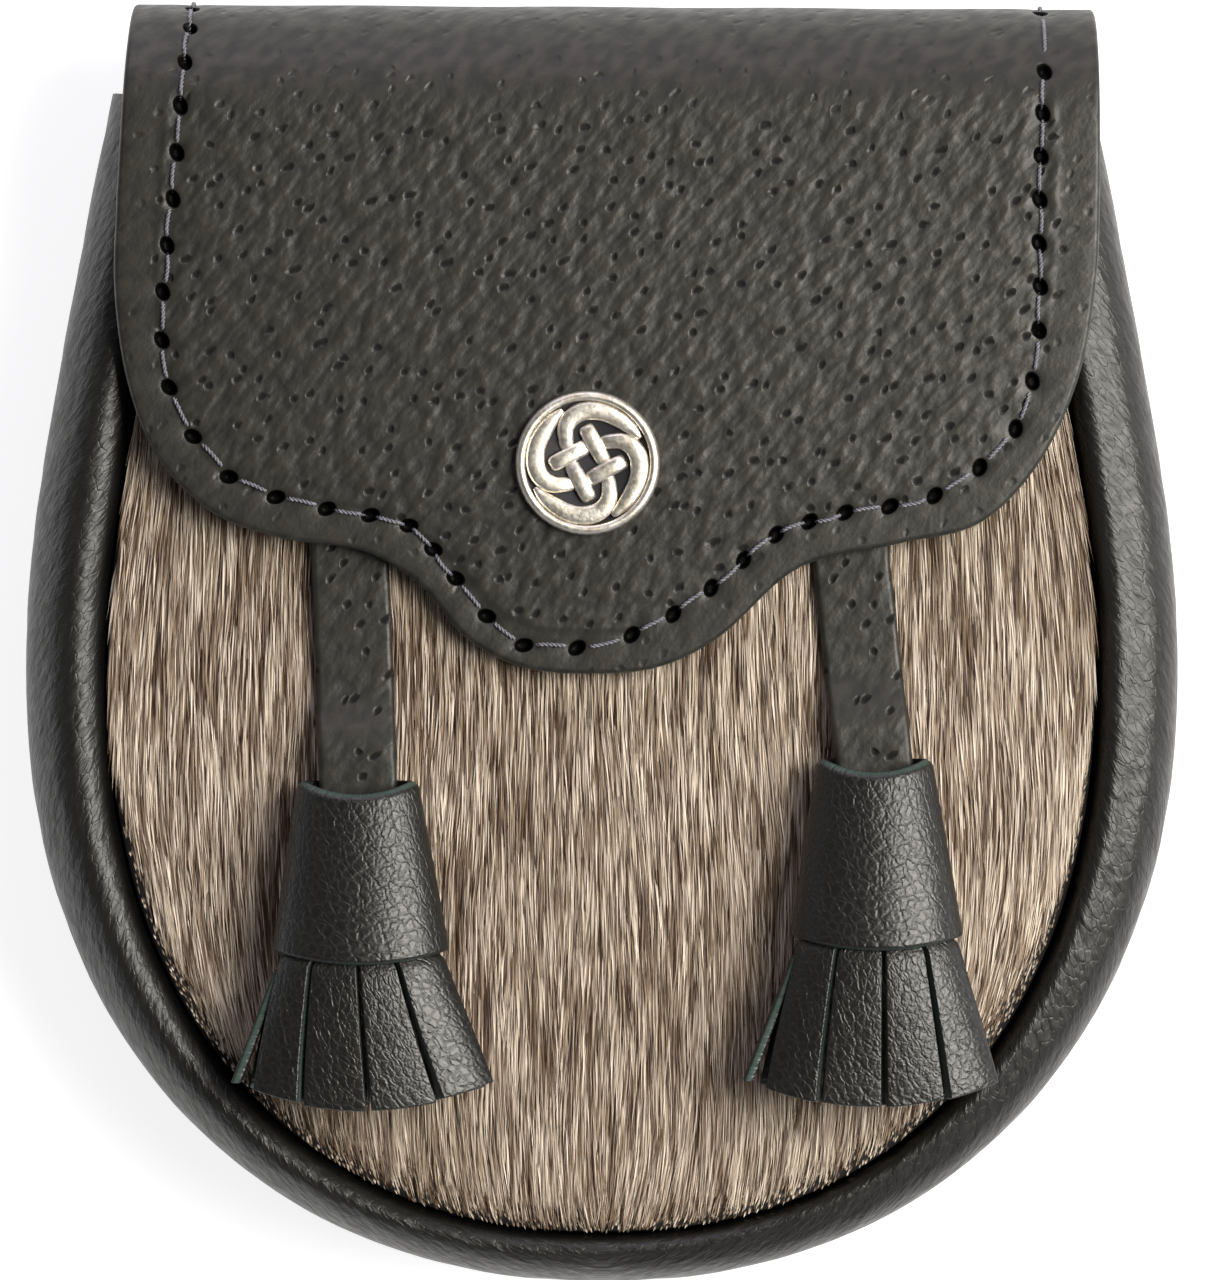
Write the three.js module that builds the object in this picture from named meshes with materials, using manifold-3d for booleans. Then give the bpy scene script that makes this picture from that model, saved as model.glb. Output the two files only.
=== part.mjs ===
// A sporran pouch lying on its back: +Z is out of the front, +Y towards the top edge.
// Millimetres. The origin is the centre of the box that holds the pouch, on its back face.
import * as THREE from 'three';
import { mergeVertices } from 'three/addons/utils/BufferGeometryUtils.js';
import Module from 'manifold-3d';

const wasm = await Module();
wasm.setup();

// Outline of the pouch, seen from the front
const HALF_WIDTH = 89.9;
const HALF_HEIGHT = 99.6;
const BOWL_CENTRE_Y = -4.4;
const BOWL_POWER = 2.17;
const GUSSET_TOP_Y = 85.4;
const WAIST_SLOPE = 0.21;
const WAIST_ROUNDING = 28.2;
const WAIST_Y = -2.8;
const OUTLINE_STEPS = 24;
const STATIONS = 48;

// Leather thicknesses and the clearance between pieces
const BACK_THICKNESS = 2.4;
const GUSSET_THICKNESS = 1.8;
const FUR_PANEL_THICKNESS = 3;
const FLAP_THICKNESS = 2.6;
const GAP = 0.3;

// The rolled rim is wide at the sides and narrow at the foot of the bowl
const ROLL_WIDTH = 13;
const ROLL_NARROWING = 5.2;
const SEAM_GAP = 0.5;
const TOP_EDGE_CLEARANCE = 2;

// Cross-section of the gusset: n is measured outwards from the outline, z up from the back face
const GUSSET_SECTION = [
  { n: -9.6, z: 2.7 },
  { n: -4.4, z: 2.7 },
  { n: -2.0, z: 3.9 },
  { n: -0.7, z: 7.2 },
  { n: -0.15, z: 12 },
  { n: 0, z: 18 },
  { n: -0.15, z: 24.5 },
  { n: -0.9, z: 30.2 },
  { n: -2.9, z: 34.3 },
  { n: -6.2, z: 36.3 },
  { n: -9.6, z: 35.4 },
  { n: -12.0, z: 32.6 },
  { n: -12.9, z: 30.0 },
  { n: -13.1, z: 28.2 },
  { n: -19.5, z: 28.2 },
];

// Back panel with the two slots that the belt strap threads through
const BACK_INSET = 2.6;
const BACK_TOP_Y = 84;
const SLOT = { x: 38, y: 40, width: 6, height: 32 };

// Fur panel: domed, with its straight top edge hidden under the flap
const PANEL_TOP_Y = 80;
const PANEL_RIM_Z = 31.6;
const PANEL_DOME = 3.4;
const PANEL_CENTRE_Y = -5;
const PANEL_RINGS = 5;
const PANEL_TOP_STEPS = 8;

// Flap: a tail inside the back, a half-round arch over the top and a lobed front
const ARCH_RADIUS = 18.5;
const ARCH_SLOPE = 0.0055;
const TAIL_LENGTH = 20;
const TAIL_HALF_WIDTH = 64;
const SHOULDER_DEPTH = 12;
const FLAP_CROWN = 1.2;
const FLAP_CROWN_HALF_WIDTH = 76;
const FLAP_CROWN_Y = 45;
const FLAP_DROOP = 0.6;
const FLAP_LOWEST_Y = -8;
const FLAP_ROWS = { tail: 2, arch: 12, front: 17 };
const FLAP_COLUMNS = 16;
const BLANK_HALF_WIDTH = 80;
const FLAP_TOP_CORNERS = [
  { x: 76.7, y: 102 },
  { x: -72.8, y: 102 },
];
const FLAP_EDGE = [
  { x: -74.8, y: 68.6 },
  { x: -75.1, y: 54.0 },
  { x: -72.9, y: 39.2 },
  { x: -68.6, y: 28.6 },
  { x: -59.9, y: 19.9 },
  { x: -49.4, y: 16.0 },
  { x: -36.5, y: 13.9 },
  { x: -28.0, y: 8.8 },
  { x: -21.2, y: 0.9 },
  { x: -12.6, y: -3.8 },
  { x: -2.2, y: -4.9 },
  { x: 8.6, y: -3.9 },
  { x: 17.7, y: 0.5 },
  { x: 30.5, y: 11.5 },
  { x: 45.6, y: 15.1 },
  { x: 58.0, y: 18.2 },
  { x: 66.8, y: 26.8 },
  { x: 73.3, y: 40.3 },
  { x: 76.2, y: 56.0 },
  { x: 76.8, y: 71.0 },
];
const FLAP_EDGE_STEPS = 54;

// Stud cap on the flap and the plain post behind it
const STUD = { x: -2.2, y: 27.5, radius: 11.1 };
const STUD_PROFILE = [
  { share: 0, z: 0 },
  { share: 0.94, z: 0 },
  { share: 1, z: 0.6 },
  { share: 0.985, z: 1.4 },
  { share: 0.945, z: 1.75 },
  { share: 0.895, z: 1.6 },
  { share: 0.86, z: 0.9 },
  { share: 0, z: 0.9 },
];
const STUD_SIDES = 40;
const KNOT_BANDS = 4;
const KNOT_FLOOR_Z = 0.7;
const KNOT_TOP_Z = 1.55;
const KNOT_BAR = { start: [-0.05, 0.48], end: [0.167, 0.0], halfWidth: 0.094 };
const KNOT_BAR_CAP_STEPS = 5;
const KNOT_ARM_STEPS = 18;
const KNOT_ARM = [
  { x: 0.33, y: -0.29 },
  { x: 0.39, y: -0.45 },
  { x: 0.26, y: -0.7 },
  { x: -0.05, y: -0.84 },
  { x: -0.41, y: -0.75 },
  { x: -0.63, y: -0.57 },
  { x: -0.73, y: -0.42 },
  { x: -0.53, y: -0.47 },
  { x: -0.33, y: -0.57 },
  { x: -0.09, y: -0.64 },
  { x: 0.09, y: -0.52 },
  { x: 0.17, y: -0.36 },
];
const POST_RADIUS = 5;
const POST_SIDES = 20;

// Tassels: strap, rolled cone and cut fringe
const STRAP_HALF_WIDTH = 6;
const STRAP_THICKNESS = 2.3;
const STRAP_REST_Z = 34.8;
const STRAP_CONE_Z = 38.4;
const STRAP_TOP_Y = 30;
const STRAP_IN_CONE = 9;
const STRAP_LEVEL = 4;
const STRAP_RAMP = 12;
const STRAP_ROWS = 14;
const CONE_THICKNESS = 1.4;
const CONE_SIDES = 28;
const CONE_ROWS = 3;
const CONE_BACK_Z = 35.2;
const CONE_DEPTH = { top: 11, foot: 15.2 };
const CONE_DIP = { top: 2, foot: 1.8 };
const FRINGE_THICKNESS = 1.5;
const FRINGE_ROWS = [
  { share: -0.28 },
  { share: 0.02, width: 0.875, depth: 0.8 },
  { share: 0.1, width: 0.98, depth: 0.88 },
  { share: 0.4, width: 1.16, depth: 0.9 },
  { share: 0.7, width: 1.34, depth: 0.87 },
  { share: 1, width: 1.5, depth: 0.84 },
];
const FRINGE_EDGE = { mouth: 0.74, foot: 1.0, behind: 3.6, infront: 2.4 };
const FRINGE_COLUMNS = 3;
const FRINGE_HEAD_SIDES = 20;
const FRINGE_FOOT_CURVE = 4;
const FRINGE_CUT = 0.02;
const FRINGE_BACK_CUTS = [
  { top: -0.98, foot: -0.9 },
  { top: -0.45, foot: -0.42 },
  { top: 0.05, foot: 0.05 },
  { top: 0.5, foot: 0.5 },
  { top: 0.98, foot: 0.93 },
];
const TASSELS = [
  {
    side: 'left',
    strap: { x: -38.9, y: 14.2 },
    coneTop: { x: -37.5, y: -22, halfWidth: 9.4 },
    coneFoot: { x: -37, y: -47.2, halfWidth: 13.65 },
    fringeFoot: { x: -36.4, y: -71.6 },
    cuts: [
      { top: -1, foot: -0.955 },
      { top: -0.58, foot: -0.475 },
      { top: -0.02, foot: 0.045 },
      { top: 0.44, foot: 0.575 },
      { top: 1, foot: 1 },
    ],
  },
  {
    side: 'right',
    strap: { x: 38.4, y: 13.3 },
    coneTop: { x: 41.9, y: -18.6, halfWidth: 9 },
    coneFoot: { x: 42.2, y: -45, halfWidth: 13.3 },
    fringeFoot: { x: 41.6, y: -71.3 },
    cuts: [
      { top: -1, foot: -0.88 },
      { top: -0.5, foot: -0.425 },
      { top: 0.07, foot: 0.08 },
      { top: 0.58, foot: 0.57 },
      { top: 1, foot: 1 },
    ],
  },
];

// Finishes
const LEATHER = { color: 0x2b2a27, roughness: 0.45, metalness: 0 };
const PIGSKIN = { color: 0x3a3833, roughness: 0.6, metalness: 0 };
const FUR = { color: 0x93806e, roughness: 0.9, metalness: 0 };
const SILVER = { color: 0xb3aca1, roughness: 0.35, metalness: 1 };

const group = new THREE.Group();

function addMesh(name, geometry, finish) {
  const material = new THREE.MeshStandardMaterial(finish);
  const mesh = new THREE.Mesh(geometry, material);
  mesh.name = name;
  group.add(mesh);
}

const mix = THREE.MathUtils.lerp;
const ease = THREE.MathUtils.smoothstep;

function bareGeometry(geometry) {
  const bare = geometry.clone();
  bare.deleteAttribute('normal');
  bare.deleteAttribute('uv');
  return mergeVertices(bare, 1e-4);
}

function toSolid(geometry) {
  const bare = bareGeometry(geometry);
  const mesh = new wasm.Mesh({
    numProp: 3,
    vertProperties: new Float32Array(bare.attributes.position.array),
    triVerts: new Uint32Array(bare.index.array),
  });
  return new wasm.Manifold(mesh);
}

function toGeometry(solid) {
  const mesh = solid.getMesh();
  const geometry = new THREE.BufferGeometry();
  geometry.setAttribute('position', new THREE.BufferAttribute(mesh.vertProperties, 3));
  geometry.setIndex(new THREE.BufferAttribute(mesh.triVerts, 1));
  geometry.computeVertexNormals();
  return geometry;
}

function joined(geometries) {
  return geometries.map(toSolid).reduce((whole, next) => whole.add(next));
}

function signedVolume(positions, index) {
  const [a, b, c] = [new THREE.Vector3(), new THREE.Vector3(), new THREE.Vector3()];
  let total = 0;
  for (let i = 0; i < index.length; i += 3) {
    a.fromArray(positions, index[i] * 3);
    b.fromArray(positions, index[i + 1] * 3);
    c.fromArray(positions, index[i + 2] * 3);
    total += a.dot(b.cross(c));
  }
  return total / 6;
}

function closedGeometry(positions, index) {
  if (signedVolume(positions, index) < 0) {
    for (let i = 0; i < index.length; i += 3) {
      [index[i], index[i + 1]] = [index[i + 1], index[i]];
    }
  }
  const geometry = new THREE.BufferGeometry();
  geometry.setAttribute('position', new THREE.Float32BufferAttribute(positions, 3));
  geometry.setIndex(index);
  geometry.computeVertexNormals();
  return geometry;
}

// A wall of leather between two faces, each given as a function of row and column.
// A ring closes on itself, row after row.
function wall({ rows, columns, outer, inner, ring = false }) {
  const lines = ring ? rows : rows + 1;
  const positions = [];
  const index = [];
  for (const face of [outer, inner]) {
    for (let i = 0; i < lines; i += 1) {
      for (let j = 0; j <= columns; j += 1) {
        positions.push(...face(i, j));
      }
    }
  }
  const at = (face, i, j) => (face * lines + (i % lines)) * (columns + 1) + j;
  const quad = (a, b, c, d) => index.push(a, b, c, a, c, d);
  for (let i = 0; i < rows; i += 1) {
    for (let j = 0; j < columns; j += 1) {
      quad(at(0, i, j), at(0, i + 1, j), at(0, i + 1, j + 1), at(0, i, j + 1));
      quad(at(1, i, j), at(1, i, j + 1), at(1, i + 1, j + 1), at(1, i + 1, j));
    }
    quad(at(0, i, 0), at(1, i, 0), at(1, i + 1, 0), at(0, i + 1, 0));
    quad(at(0, i, columns), at(0, i + 1, columns), at(1, i + 1, columns), at(1, i, columns));
  }
  for (let j = 0; j < columns && !ring; j += 1) {
    quad(at(0, 0, j), at(0, 0, j + 1), at(1, 0, j + 1), at(1, 0, j));
    quad(at(0, rows, j), at(1, rows, j), at(1, rows, j + 1), at(0, rows, j + 1));
  }
  return closedGeometry(positions, index);
}

// Outline: the sides lean in towards the top, the bowl is a superellipse
function sideHalfWidth(y) {
  const rise = Math.hypot(y - WAIST_Y, WAIST_ROUNDING) - WAIST_ROUNDING;
  return HALF_WIDTH - WAIST_SLOPE * rise;
}

function bowlPoint(angle) {
  const power = 2 / BOWL_POWER;
  const depth = HALF_HEIGHT + BOWL_CENTRE_Y;
  const x = -HALF_WIDTH * Math.cos(angle) ** power;
  const y = BOWL_CENTRE_Y - depth * Math.sin(angle) ** power;
  return new THREE.Vector3(x, y, 0);
}

function outlineCurve() {
  const left = [];
  for (let i = 0; i < OUTLINE_STEPS; i += 1) {
    const y = mix(GUSSET_TOP_Y, BOWL_CENTRE_Y, i / OUTLINE_STEPS);
    left.push(new THREE.Vector3(-sideHalfWidth(y), y, 0));
  }
  for (let i = 0; i < OUTLINE_STEPS; i += 1) {
    left.push(bowlPoint((Math.PI / 2) * (i / OUTLINE_STEPS)));
  }
  const foot = new THREE.Vector3(0, -HALF_HEIGHT, 0);
  const right = left.map((p) => new THREE.Vector3(-p.x, p.y, 0)).reverse();
  return new THREE.CatmullRomCurve3([...left, foot, ...right], false, 'centripetal');
}

const outline = outlineCurve();

// A place on the outline with its outward normal and the width of the rolled rim there
function stationAt(share) {
  const point = outline.getPointAt(share);
  const tangent = outline.getTangentAt(share);
  const normal = new THREE.Vector3(tangent.y, -tangent.x, 0);
  const downward = Math.max(0, -normal.y);
  const roll = ROLL_WIDTH - ROLL_NARROWING * downward ** 1.5;
  return { point, normal, roll };
}

// The outline drawn in by an inset, and closed by a straight edge at topY
function insetPoints(inset, topY) {
  const half = sideHalfWidth(topY) - inset(ROLL_WIDTH);
  const points = [new THREE.Vector3(-half, topY, 0)];
  for (let i = 0; i <= STATIONS; i += 1) {
    const { point, normal, roll } = stationAt(i / STATIONS);
    const place = point.clone().addScaledVector(normal, -inset(roll));
    if (place.y < topY - TOP_EDGE_CLEARANCE) {
      points.push(place);
    }
  }
  return [...points, new THREE.Vector3(half, topY, 0)];
}

function makeBackPanel() {
  const shape = new THREE.Shape(insetPoints(() => BACK_INSET, BACK_TOP_Y));
  const round = SLOT.width / 2;
  const straight = SLOT.height / 2 - round;
  for (const side of [-1, 1]) {
    const slot = new THREE.Path();
    slot.absarc(side * SLOT.x, SLOT.y + straight, round, 0, Math.PI);
    slot.absarc(side * SLOT.x, SLOT.y - straight, round, Math.PI, 2 * Math.PI);
    shape.holes.push(slot);
  }
  const options = { depth: BACK_THICKNESS, bevelEnabled: false, curveSegments: 5 };
  addMesh('back_panel', bareGeometry(new THREE.ExtrudeGeometry(shape, options)), LEATHER);
}

// The gusset's two faces at one station, as offsets along the outline's normal. The inner
// face keeps the leather's thickness, with mitred corners.
function gussetFaces(roll) {
  const scale = roll / ROLL_WIDTH;
  const outer = GUSSET_SECTION.map(({ n, z }) => new THREE.Vector2(n * scale, z));
  const sides = outer.slice(1).map((p, j) => {
    const along = p.clone().sub(outer[j]).normalize();
    return new THREE.Vector2(-along.y, along.x);
  });
  const inner = outer.map((p, j) => {
    const before = sides[Math.max(j - 1, 0)];
    const after = sides[Math.min(j, sides.length - 1)];
    const mitre = before.clone().add(after).normalize();
    return p.clone().addScaledVector(mitre, GUSSET_THICKNESS / mitre.dot(before));
  });
  return { outer, inner };
}

function makeGusset() {
  const stations = [];
  for (let i = 0; i <= STATIONS; i += 1) {
    const station = stationAt(i / STATIONS);
    stations.push({ ...station, ...gussetFaces(station.roll) });
  }
  const placed = (station, offset) => [
    station.point.x + station.normal.x * offset.x,
    station.point.y + station.normal.y * offset.x,
    offset.y,
  ];
  const geometry = wall({
    rows: STATIONS,
    columns: GUSSET_SECTION.length - 1,
    outer: (i, j) => placed(stations[i], stations[i].outer[j]),
    inner: (i, j) => placed(stations[i], stations[i].inner[j]),
  });
  addMesh('gusset', geometry, LEATHER);
}

// Height of the fur panel's front face over a place given as a share of the way to its rim
function panelZ(share) {
  return PANEL_RIM_Z + PANEL_DOME * (1 - share * share);
}

function panelRim() {
  const rim = insetPoints((roll) => roll + SEAM_GAP, PANEL_TOP_Y);
  const [first, last] = [rim[0], rim[rim.length - 1]];
  for (let i = 1; i < PANEL_TOP_STEPS; i += 1) {
    rim.push(last.clone().lerp(first, i / PANEL_TOP_STEPS));
  }
  return rim;
}

// The panel is a stack of rings round its centre, on a front and a back face
function makeFurPanel() {
  const rim = panelRim();
  const count = rim.length;
  const perFace = 1 + PANEL_RINGS * count;
  const positions = [];
  const index = [];
  for (const lower of [0, -FUR_PANEL_THICKNESS]) {
    positions.push(0, PANEL_CENTRE_Y, panelZ(0) + lower);
    for (let ring = 1; ring <= PANEL_RINGS; ring += 1) {
      const share = ring / PANEL_RINGS;
      for (const p of rim) {
        positions.push(p.x * share, mix(PANEL_CENTRE_Y, p.y, share), panelZ(share) + lower);
      }
    }
  }
  const at = (face, ring, m) => face * perFace + 1 + (ring - 1) * count + (m % count);
  const triangle = (face, a, b, c) => index.push(...(face === 0 ? [a, b, c] : [a, c, b]));
  for (let m = 0; m < count; m += 1) {
    for (const face of [0, 1]) {
      triangle(face, face * perFace, at(face, 1, m), at(face, 1, m + 1));
      for (let ring = 1; ring < PANEL_RINGS; ring += 1) {
        triangle(face, at(face, ring, m), at(face, ring + 1, m), at(face, ring + 1, m + 1));
        triangle(face, at(face, ring, m), at(face, ring + 1, m + 1), at(face, ring, m + 1));
      }
    }
    const [front, back] = [0, 1].map((face) => at(face, PANEL_RINGS, m));
    const [nextFront, nextBack] = [0, 1].map((face) => at(face, PANEL_RINGS, m + 1));
    index.push(front, back, nextBack, front, nextBack, nextFront);
  }
  addMesh('fur_panel', closedGeometry(positions, index), FUR);
}

// Flap: a strip bent along tail, arch and front, then cut to its outline
const ARCH_Y = HALF_HEIGHT - ARCH_RADIUS - ARCH_SLOPE * FLAP_CROWN_HALF_WIDTH;
const ARCH_MID_RADIUS = ARCH_RADIUS - FLAP_THICKNESS / 2;
const ARCH_Z = BACK_THICKNESS + GAP + ARCH_RADIUS;
const FRONT_MID_Z = ARCH_Z + ARCH_MID_RADIUS;

function flapFrontZ(x, y) {
  const across = 1 - (x / FLAP_CROWN_HALF_WIDTH) ** 2;
  const crown = FLAP_CROWN * across * (1 - ease(y, FLAP_CROWN_Y, ARCH_Y));
  const droop = FLAP_DROOP * (1 - ease(y, FLAP_LOWEST_Y, STUD.y));
  return FRONT_MID_Z + crown - droop;
}

function flapMiddle(row, x) {
  const { tail, arch, front } = FLAP_ROWS;
  const shift = -ARCH_SLOPE * x;
  if (row <= tail) {
    const y = mix(ARCH_Y - TAIL_LENGTH, ARCH_Y, row / tail);
    return { y, z: ARCH_Z - ARCH_MID_RADIUS, outward: [0, -1] };
  }
  if (row <= tail + arch) {
    const angle = Math.PI * ((row - tail) / arch) - Math.PI / 2;
    const outward = [Math.cos(angle), Math.sin(angle)];
    const y = ARCH_Y + shift * Math.cos(angle) + ARCH_MID_RADIUS * outward[0];
    return { y, z: ARCH_Z + ARCH_MID_RADIUS * outward[1], outward };
  }
  const y = mix(ARCH_Y, FLAP_LOWEST_Y, (row - tail - arch) / front);
  return { y, z: flapFrontZ(x, y), outward: [0, 1] };
}

function flapPlace(row, column, side) {
  const x = mix(-BLANK_HALF_WIDTH, BLANK_HALF_WIDTH, column / FLAP_COLUMNS);
  const { y, z, outward } = flapMiddle(row, x);
  const half = (side * FLAP_THICKNESS) / 2;
  return [x, y + half * outward[0], z + half * outward[1]];
}

function flapOutline() {
  const curve = new THREE.CatmullRomCurve3(
    FLAP_EDGE.map(({ x, y }) => new THREE.Vector3(x, y, 0)),
    false,
    'centripetal',
  );
  return [...curve.getSpacedPoints(FLAP_EDGE_STEPS), ...FLAP_TOP_CORNERS];
}

function block(low, high) {
  const size = high.map((value, axis) => value - low[axis]);
  const geometry = new THREE.BoxGeometry(...size);
  return geometry.translate(...low.map((value, axis) => value + size[axis] / 2));
}

function makeFlap() {
  const rows = FLAP_ROWS.tail + FLAP_ROWS.arch + FLAP_ROWS.front;
  const strip = wall({
    rows,
    columns: FLAP_COLUMNS,
    outer: (i, j) => flapPlace(i, j, 1),
    inner: (i, j) => flapPlace(i, j, -1),
  });
  const shape = new THREE.Shape(flapOutline().map((p) => new THREE.Vector2(p.x, p.y)));
  const depth = 3 * ARCH_RADIUS;
  const cutter = new THREE.ExtrudeGeometry(shape, { depth, bevelEnabled: false });
  let flap = toSolid(strip).intersect(toSolid(cutter));
  for (const side of [-1, 1]) {
    const xs = [side * TAIL_HALF_WIDTH, side * HALF_WIDTH].sort((a, b) => a - b);
    const low = [xs[0], ARCH_Y - 2 * TAIL_LENGTH, 0];
    const high = [xs[1], GUSSET_TOP_Y + 2 * GAP, SHOULDER_DEPTH];
    flap = flap.subtract(toSolid(block(low, high)));
  }
  addMesh('flap', toGeometry(flap), PIGSKIN);
}

// Stud cap: a lathed rim and dish with the four-band knot raised in it
function knotBar() {
  const [x0, y0] = KNOT_BAR.start;
  const [x1, y1] = KNOT_BAR.end;
  const lean = Math.atan2(y1 - y0, x1 - x0);
  const points = [];
  for (const [x, y, turn] of [[x1, y1, -Math.PI / 2], [x0, y0, Math.PI / 2]]) {
    for (let i = 0; i <= KNOT_BAR_CAP_STEPS; i += 1) {
      const angle = lean + turn + (Math.PI * i) / KNOT_BAR_CAP_STEPS;
      const reach = KNOT_BAR.halfWidth;
      points.push(new THREE.Vector2(x + reach * Math.cos(angle), y + reach * Math.sin(angle)));
    }
  }
  return points;
}

function knotArm() {
  const places = KNOT_ARM.map(({ x, y }) => new THREE.Vector3(x, y, 0));
  const curve = new THREE.CatmullRomCurve3(places, true, 'centripetal');
  return curve.getPoints(KNOT_ARM_STEPS).slice(0, -1).map((p) => new THREE.Vector2(p.x, p.y));
}

function makeStud() {
  const baseZ = flapFrontZ(STUD.x, STUD.y) + FLAP_THICKNESS / 2 + GAP;
  const profile = STUD_PROFILE.map(({ share, z }) => new THREE.Vector2(share * STUD.radius, z));
  const dish = new THREE.LatheGeometry(profile, STUD_SIDES).rotateX(Math.PI / 2);
  const pieces = [dish];
  for (let band = 0; band < KNOT_BANDS; band += 1) {
    for (const points of [knotBar(), knotArm()]) {
      const shape = new THREE.Shape(points);
      const depth = KNOT_TOP_Z - KNOT_FLOOR_Z;
      const relief = new THREE.ExtrudeGeometry(shape, { depth, bevelEnabled: false });
      relief.scale(STUD.radius, STUD.radius, 1).rotateZ((2 * Math.PI * band) / KNOT_BANDS);
      pieces.push(relief.translate(0, 0, KNOT_FLOOR_Z));
    }
  }
  const cap = toGeometry(joined(pieces));
  addMesh('stud_cap', cap.translate(STUD.x, STUD.y, baseZ), SILVER);
}

function makeSnapPost() {
  const low = panelZ(0) + GAP;
  const high = flapFrontZ(STUD.x, STUD.y) - FLAP_THICKNESS / 2 - GAP;
  const post = new THREE.CylinderGeometry(POST_RADIUS, POST_RADIUS, high - low, POST_SIDES);
  post.rotateX(Math.PI / 2).translate(STUD.x, STUD.y, (low + high) / 2);
  addMesh('snap_post', bareGeometry(post), SILVER);
}

function makeStrap({ side, strap, coneTop }) {
  const endY = coneTop.y - STRAP_IN_CONE;
  const rampFoot = coneTop.y + STRAP_LEVEL;
  const place = (i, j, upper) => {
    const y = mix(STRAP_TOP_Y, endY, i / STRAP_ROWS);
    const share = (strap.y - y) / (strap.y - coneTop.y);
    const x = mix(strap.x, coneTop.x, THREE.MathUtils.clamp(share, 0, 1));
    const rise = 1 - ease(y, rampFoot, rampFoot + STRAP_RAMP);
    const z = mix(STRAP_REST_Z, STRAP_CONE_Z, rise);
    return [x + STRAP_HALF_WIDTH * (2 * j - 1), y, z + upper * STRAP_THICKNESS];
  };
  const geometry = wall({
    rows: STRAP_ROWS,
    columns: 1,
    outer: (i, j) => place(i, j, 1),
    inner: (i, j) => place(i, j, 0),
  });
  addMesh(`tassel_strap_${side}`, geometry, PIGSKIN);
}

// Half width, half depth and centre of a tassel's cone, a share of the way down
function coneSize({ coneTop, coneFoot }, share) {
  const halfDepth = mix(CONE_DEPTH.top, CONE_DEPTH.foot, share) / 2;
  return {
    x: mix(coneTop.x, coneFoot.x, share),
    z: CONE_BACK_Z + halfDepth,
    halfWidth: mix(coneTop.halfWidth, coneFoot.halfWidth, share),
    halfDepth,
  };
}

function makeCone(tassel) {
  const { side, coneTop, coneFoot } = tassel;
  const place = (i, j, inset) => {
    const angle = (2 * Math.PI * i) / CONE_SIDES;
    const share = j / CONE_ROWS;
    const size = coneSize(tassel, share);
    const front = Math.max(0, Math.sin(angle)) ** 2;
    const top = coneTop.y - CONE_DIP.top * front;
    const foot = coneFoot.y - CONE_DIP.foot * front;
    return [
      size.x + (size.halfWidth - inset) * Math.cos(angle),
      mix(top, foot, share),
      size.z + (size.halfDepth - inset) * Math.sin(angle),
    ];
  };
  const geometry = wall({
    rows: CONE_SIDES,
    columns: CONE_ROWS,
    ring: true,
    outer: (i, j) => place(i, j, 0),
    inner: (i, j) => place(i, j, CONE_THICKNESS),
  });
  addMesh(`tassel_cone_${side}`, geometry, LEATHER);
}

// Half width and half depth of the fringe at one of its rows. Above the cone's foot it
// follows the inside of the cone, and below it flares out.
function fringeSize(tassel, { share, width, depth }) {
  const { coneTop, coneFoot, fringeFoot } = tassel;
  const mouth = coneSize(tassel, 1);
  const rise = (share * (coneFoot.y - fringeFoot.y)) / (coneTop.y - coneFoot.y);
  const inside = coneSize(tassel, 1 + Math.min(0, rise));
  const play = CONE_THICKNESS + GAP;
  return {
    x: mix(mouth.x, fringeFoot.x, Math.max(0, share)),
    z: inside.z,
    halfWidth: share > 0 ? mouth.halfWidth * width : inside.halfWidth - play,
    halfDepth: share > 0 ? mouth.halfDepth * depth : inside.halfDepth - play,
  };
}

// One layer of the fringe, on the front (+1) or the back (-1) of the tassel
function fringeStrips(tassel, cuts, layer) {
  const { coneFoot, fringeFoot } = tassel;
  const place = (k, i, j, inset) => {
    const row = FRINGE_ROWS[i];
    const size = fringeSize(tassel, row);
    const flare = Math.max(0, row.share);
    const low = mix(cuts[k].top, cuts[k].foot, flare) + FRINGE_CUT;
    const high = mix(cuts[k + 1].top, cuts[k + 1].foot, flare) - FRINGE_CUT;
    const across = mix(low, high, j / FRINGE_COLUMNS);
    const round = 1 - across * across;
    const mouthY = coneFoot.y - Math.max(0, layer) * CONE_DIP.foot * round;
    const footY = fringeFoot.y + FRINGE_FOOT_CURVE * across * across;
    return [
      size.x + (size.halfWidth - inset) * across,
      mix(mouthY, footY, row.share),
      size.z + layer * (size.halfDepth * Math.sqrt(round) - inset),
    ];
  };
  return cuts.slice(0, -1).map((cut, k) =>
    wall({
      rows: FRINGE_ROWS.length - 1,
      columns: FRINGE_COLUMNS,
      outer: (i, j) => place(k, i, j, 0),
      inner: (i, j) => place(k, i, j, FRINGE_THICKNESS),
    }),
  );
}

// The strip that stands on edge at the tassel's left, seen along its cut edge
function fringeEdgeStrip(tassel) {
  const { coneFoot, fringeFoot } = tassel;
  const place = (i, j, inset) => {
    const row = FRINGE_ROWS[i];
    const size = fringeSize(tassel, row);
    const flare = Math.max(0, row.share);
    const reach = mix(FRINGE_EDGE.mouth, FRINGE_EDGE.foot, flare);
    return [
      size.x - size.halfWidth * reach + inset,
      mix(coneFoot.y, fringeFoot.y + FRINGE_FOOT_CURVE, row.share),
      size.z + mix(-FRINGE_EDGE.behind, FRINGE_EDGE.infront, j),
    ];
  };
  return wall({
    rows: FRINGE_ROWS.length - 1,
    columns: 1,
    outer: (i, j) => place(i, j, 0),
    inner: (i, j) => place(i, j, FRINGE_THICKNESS),
  });
}

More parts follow.
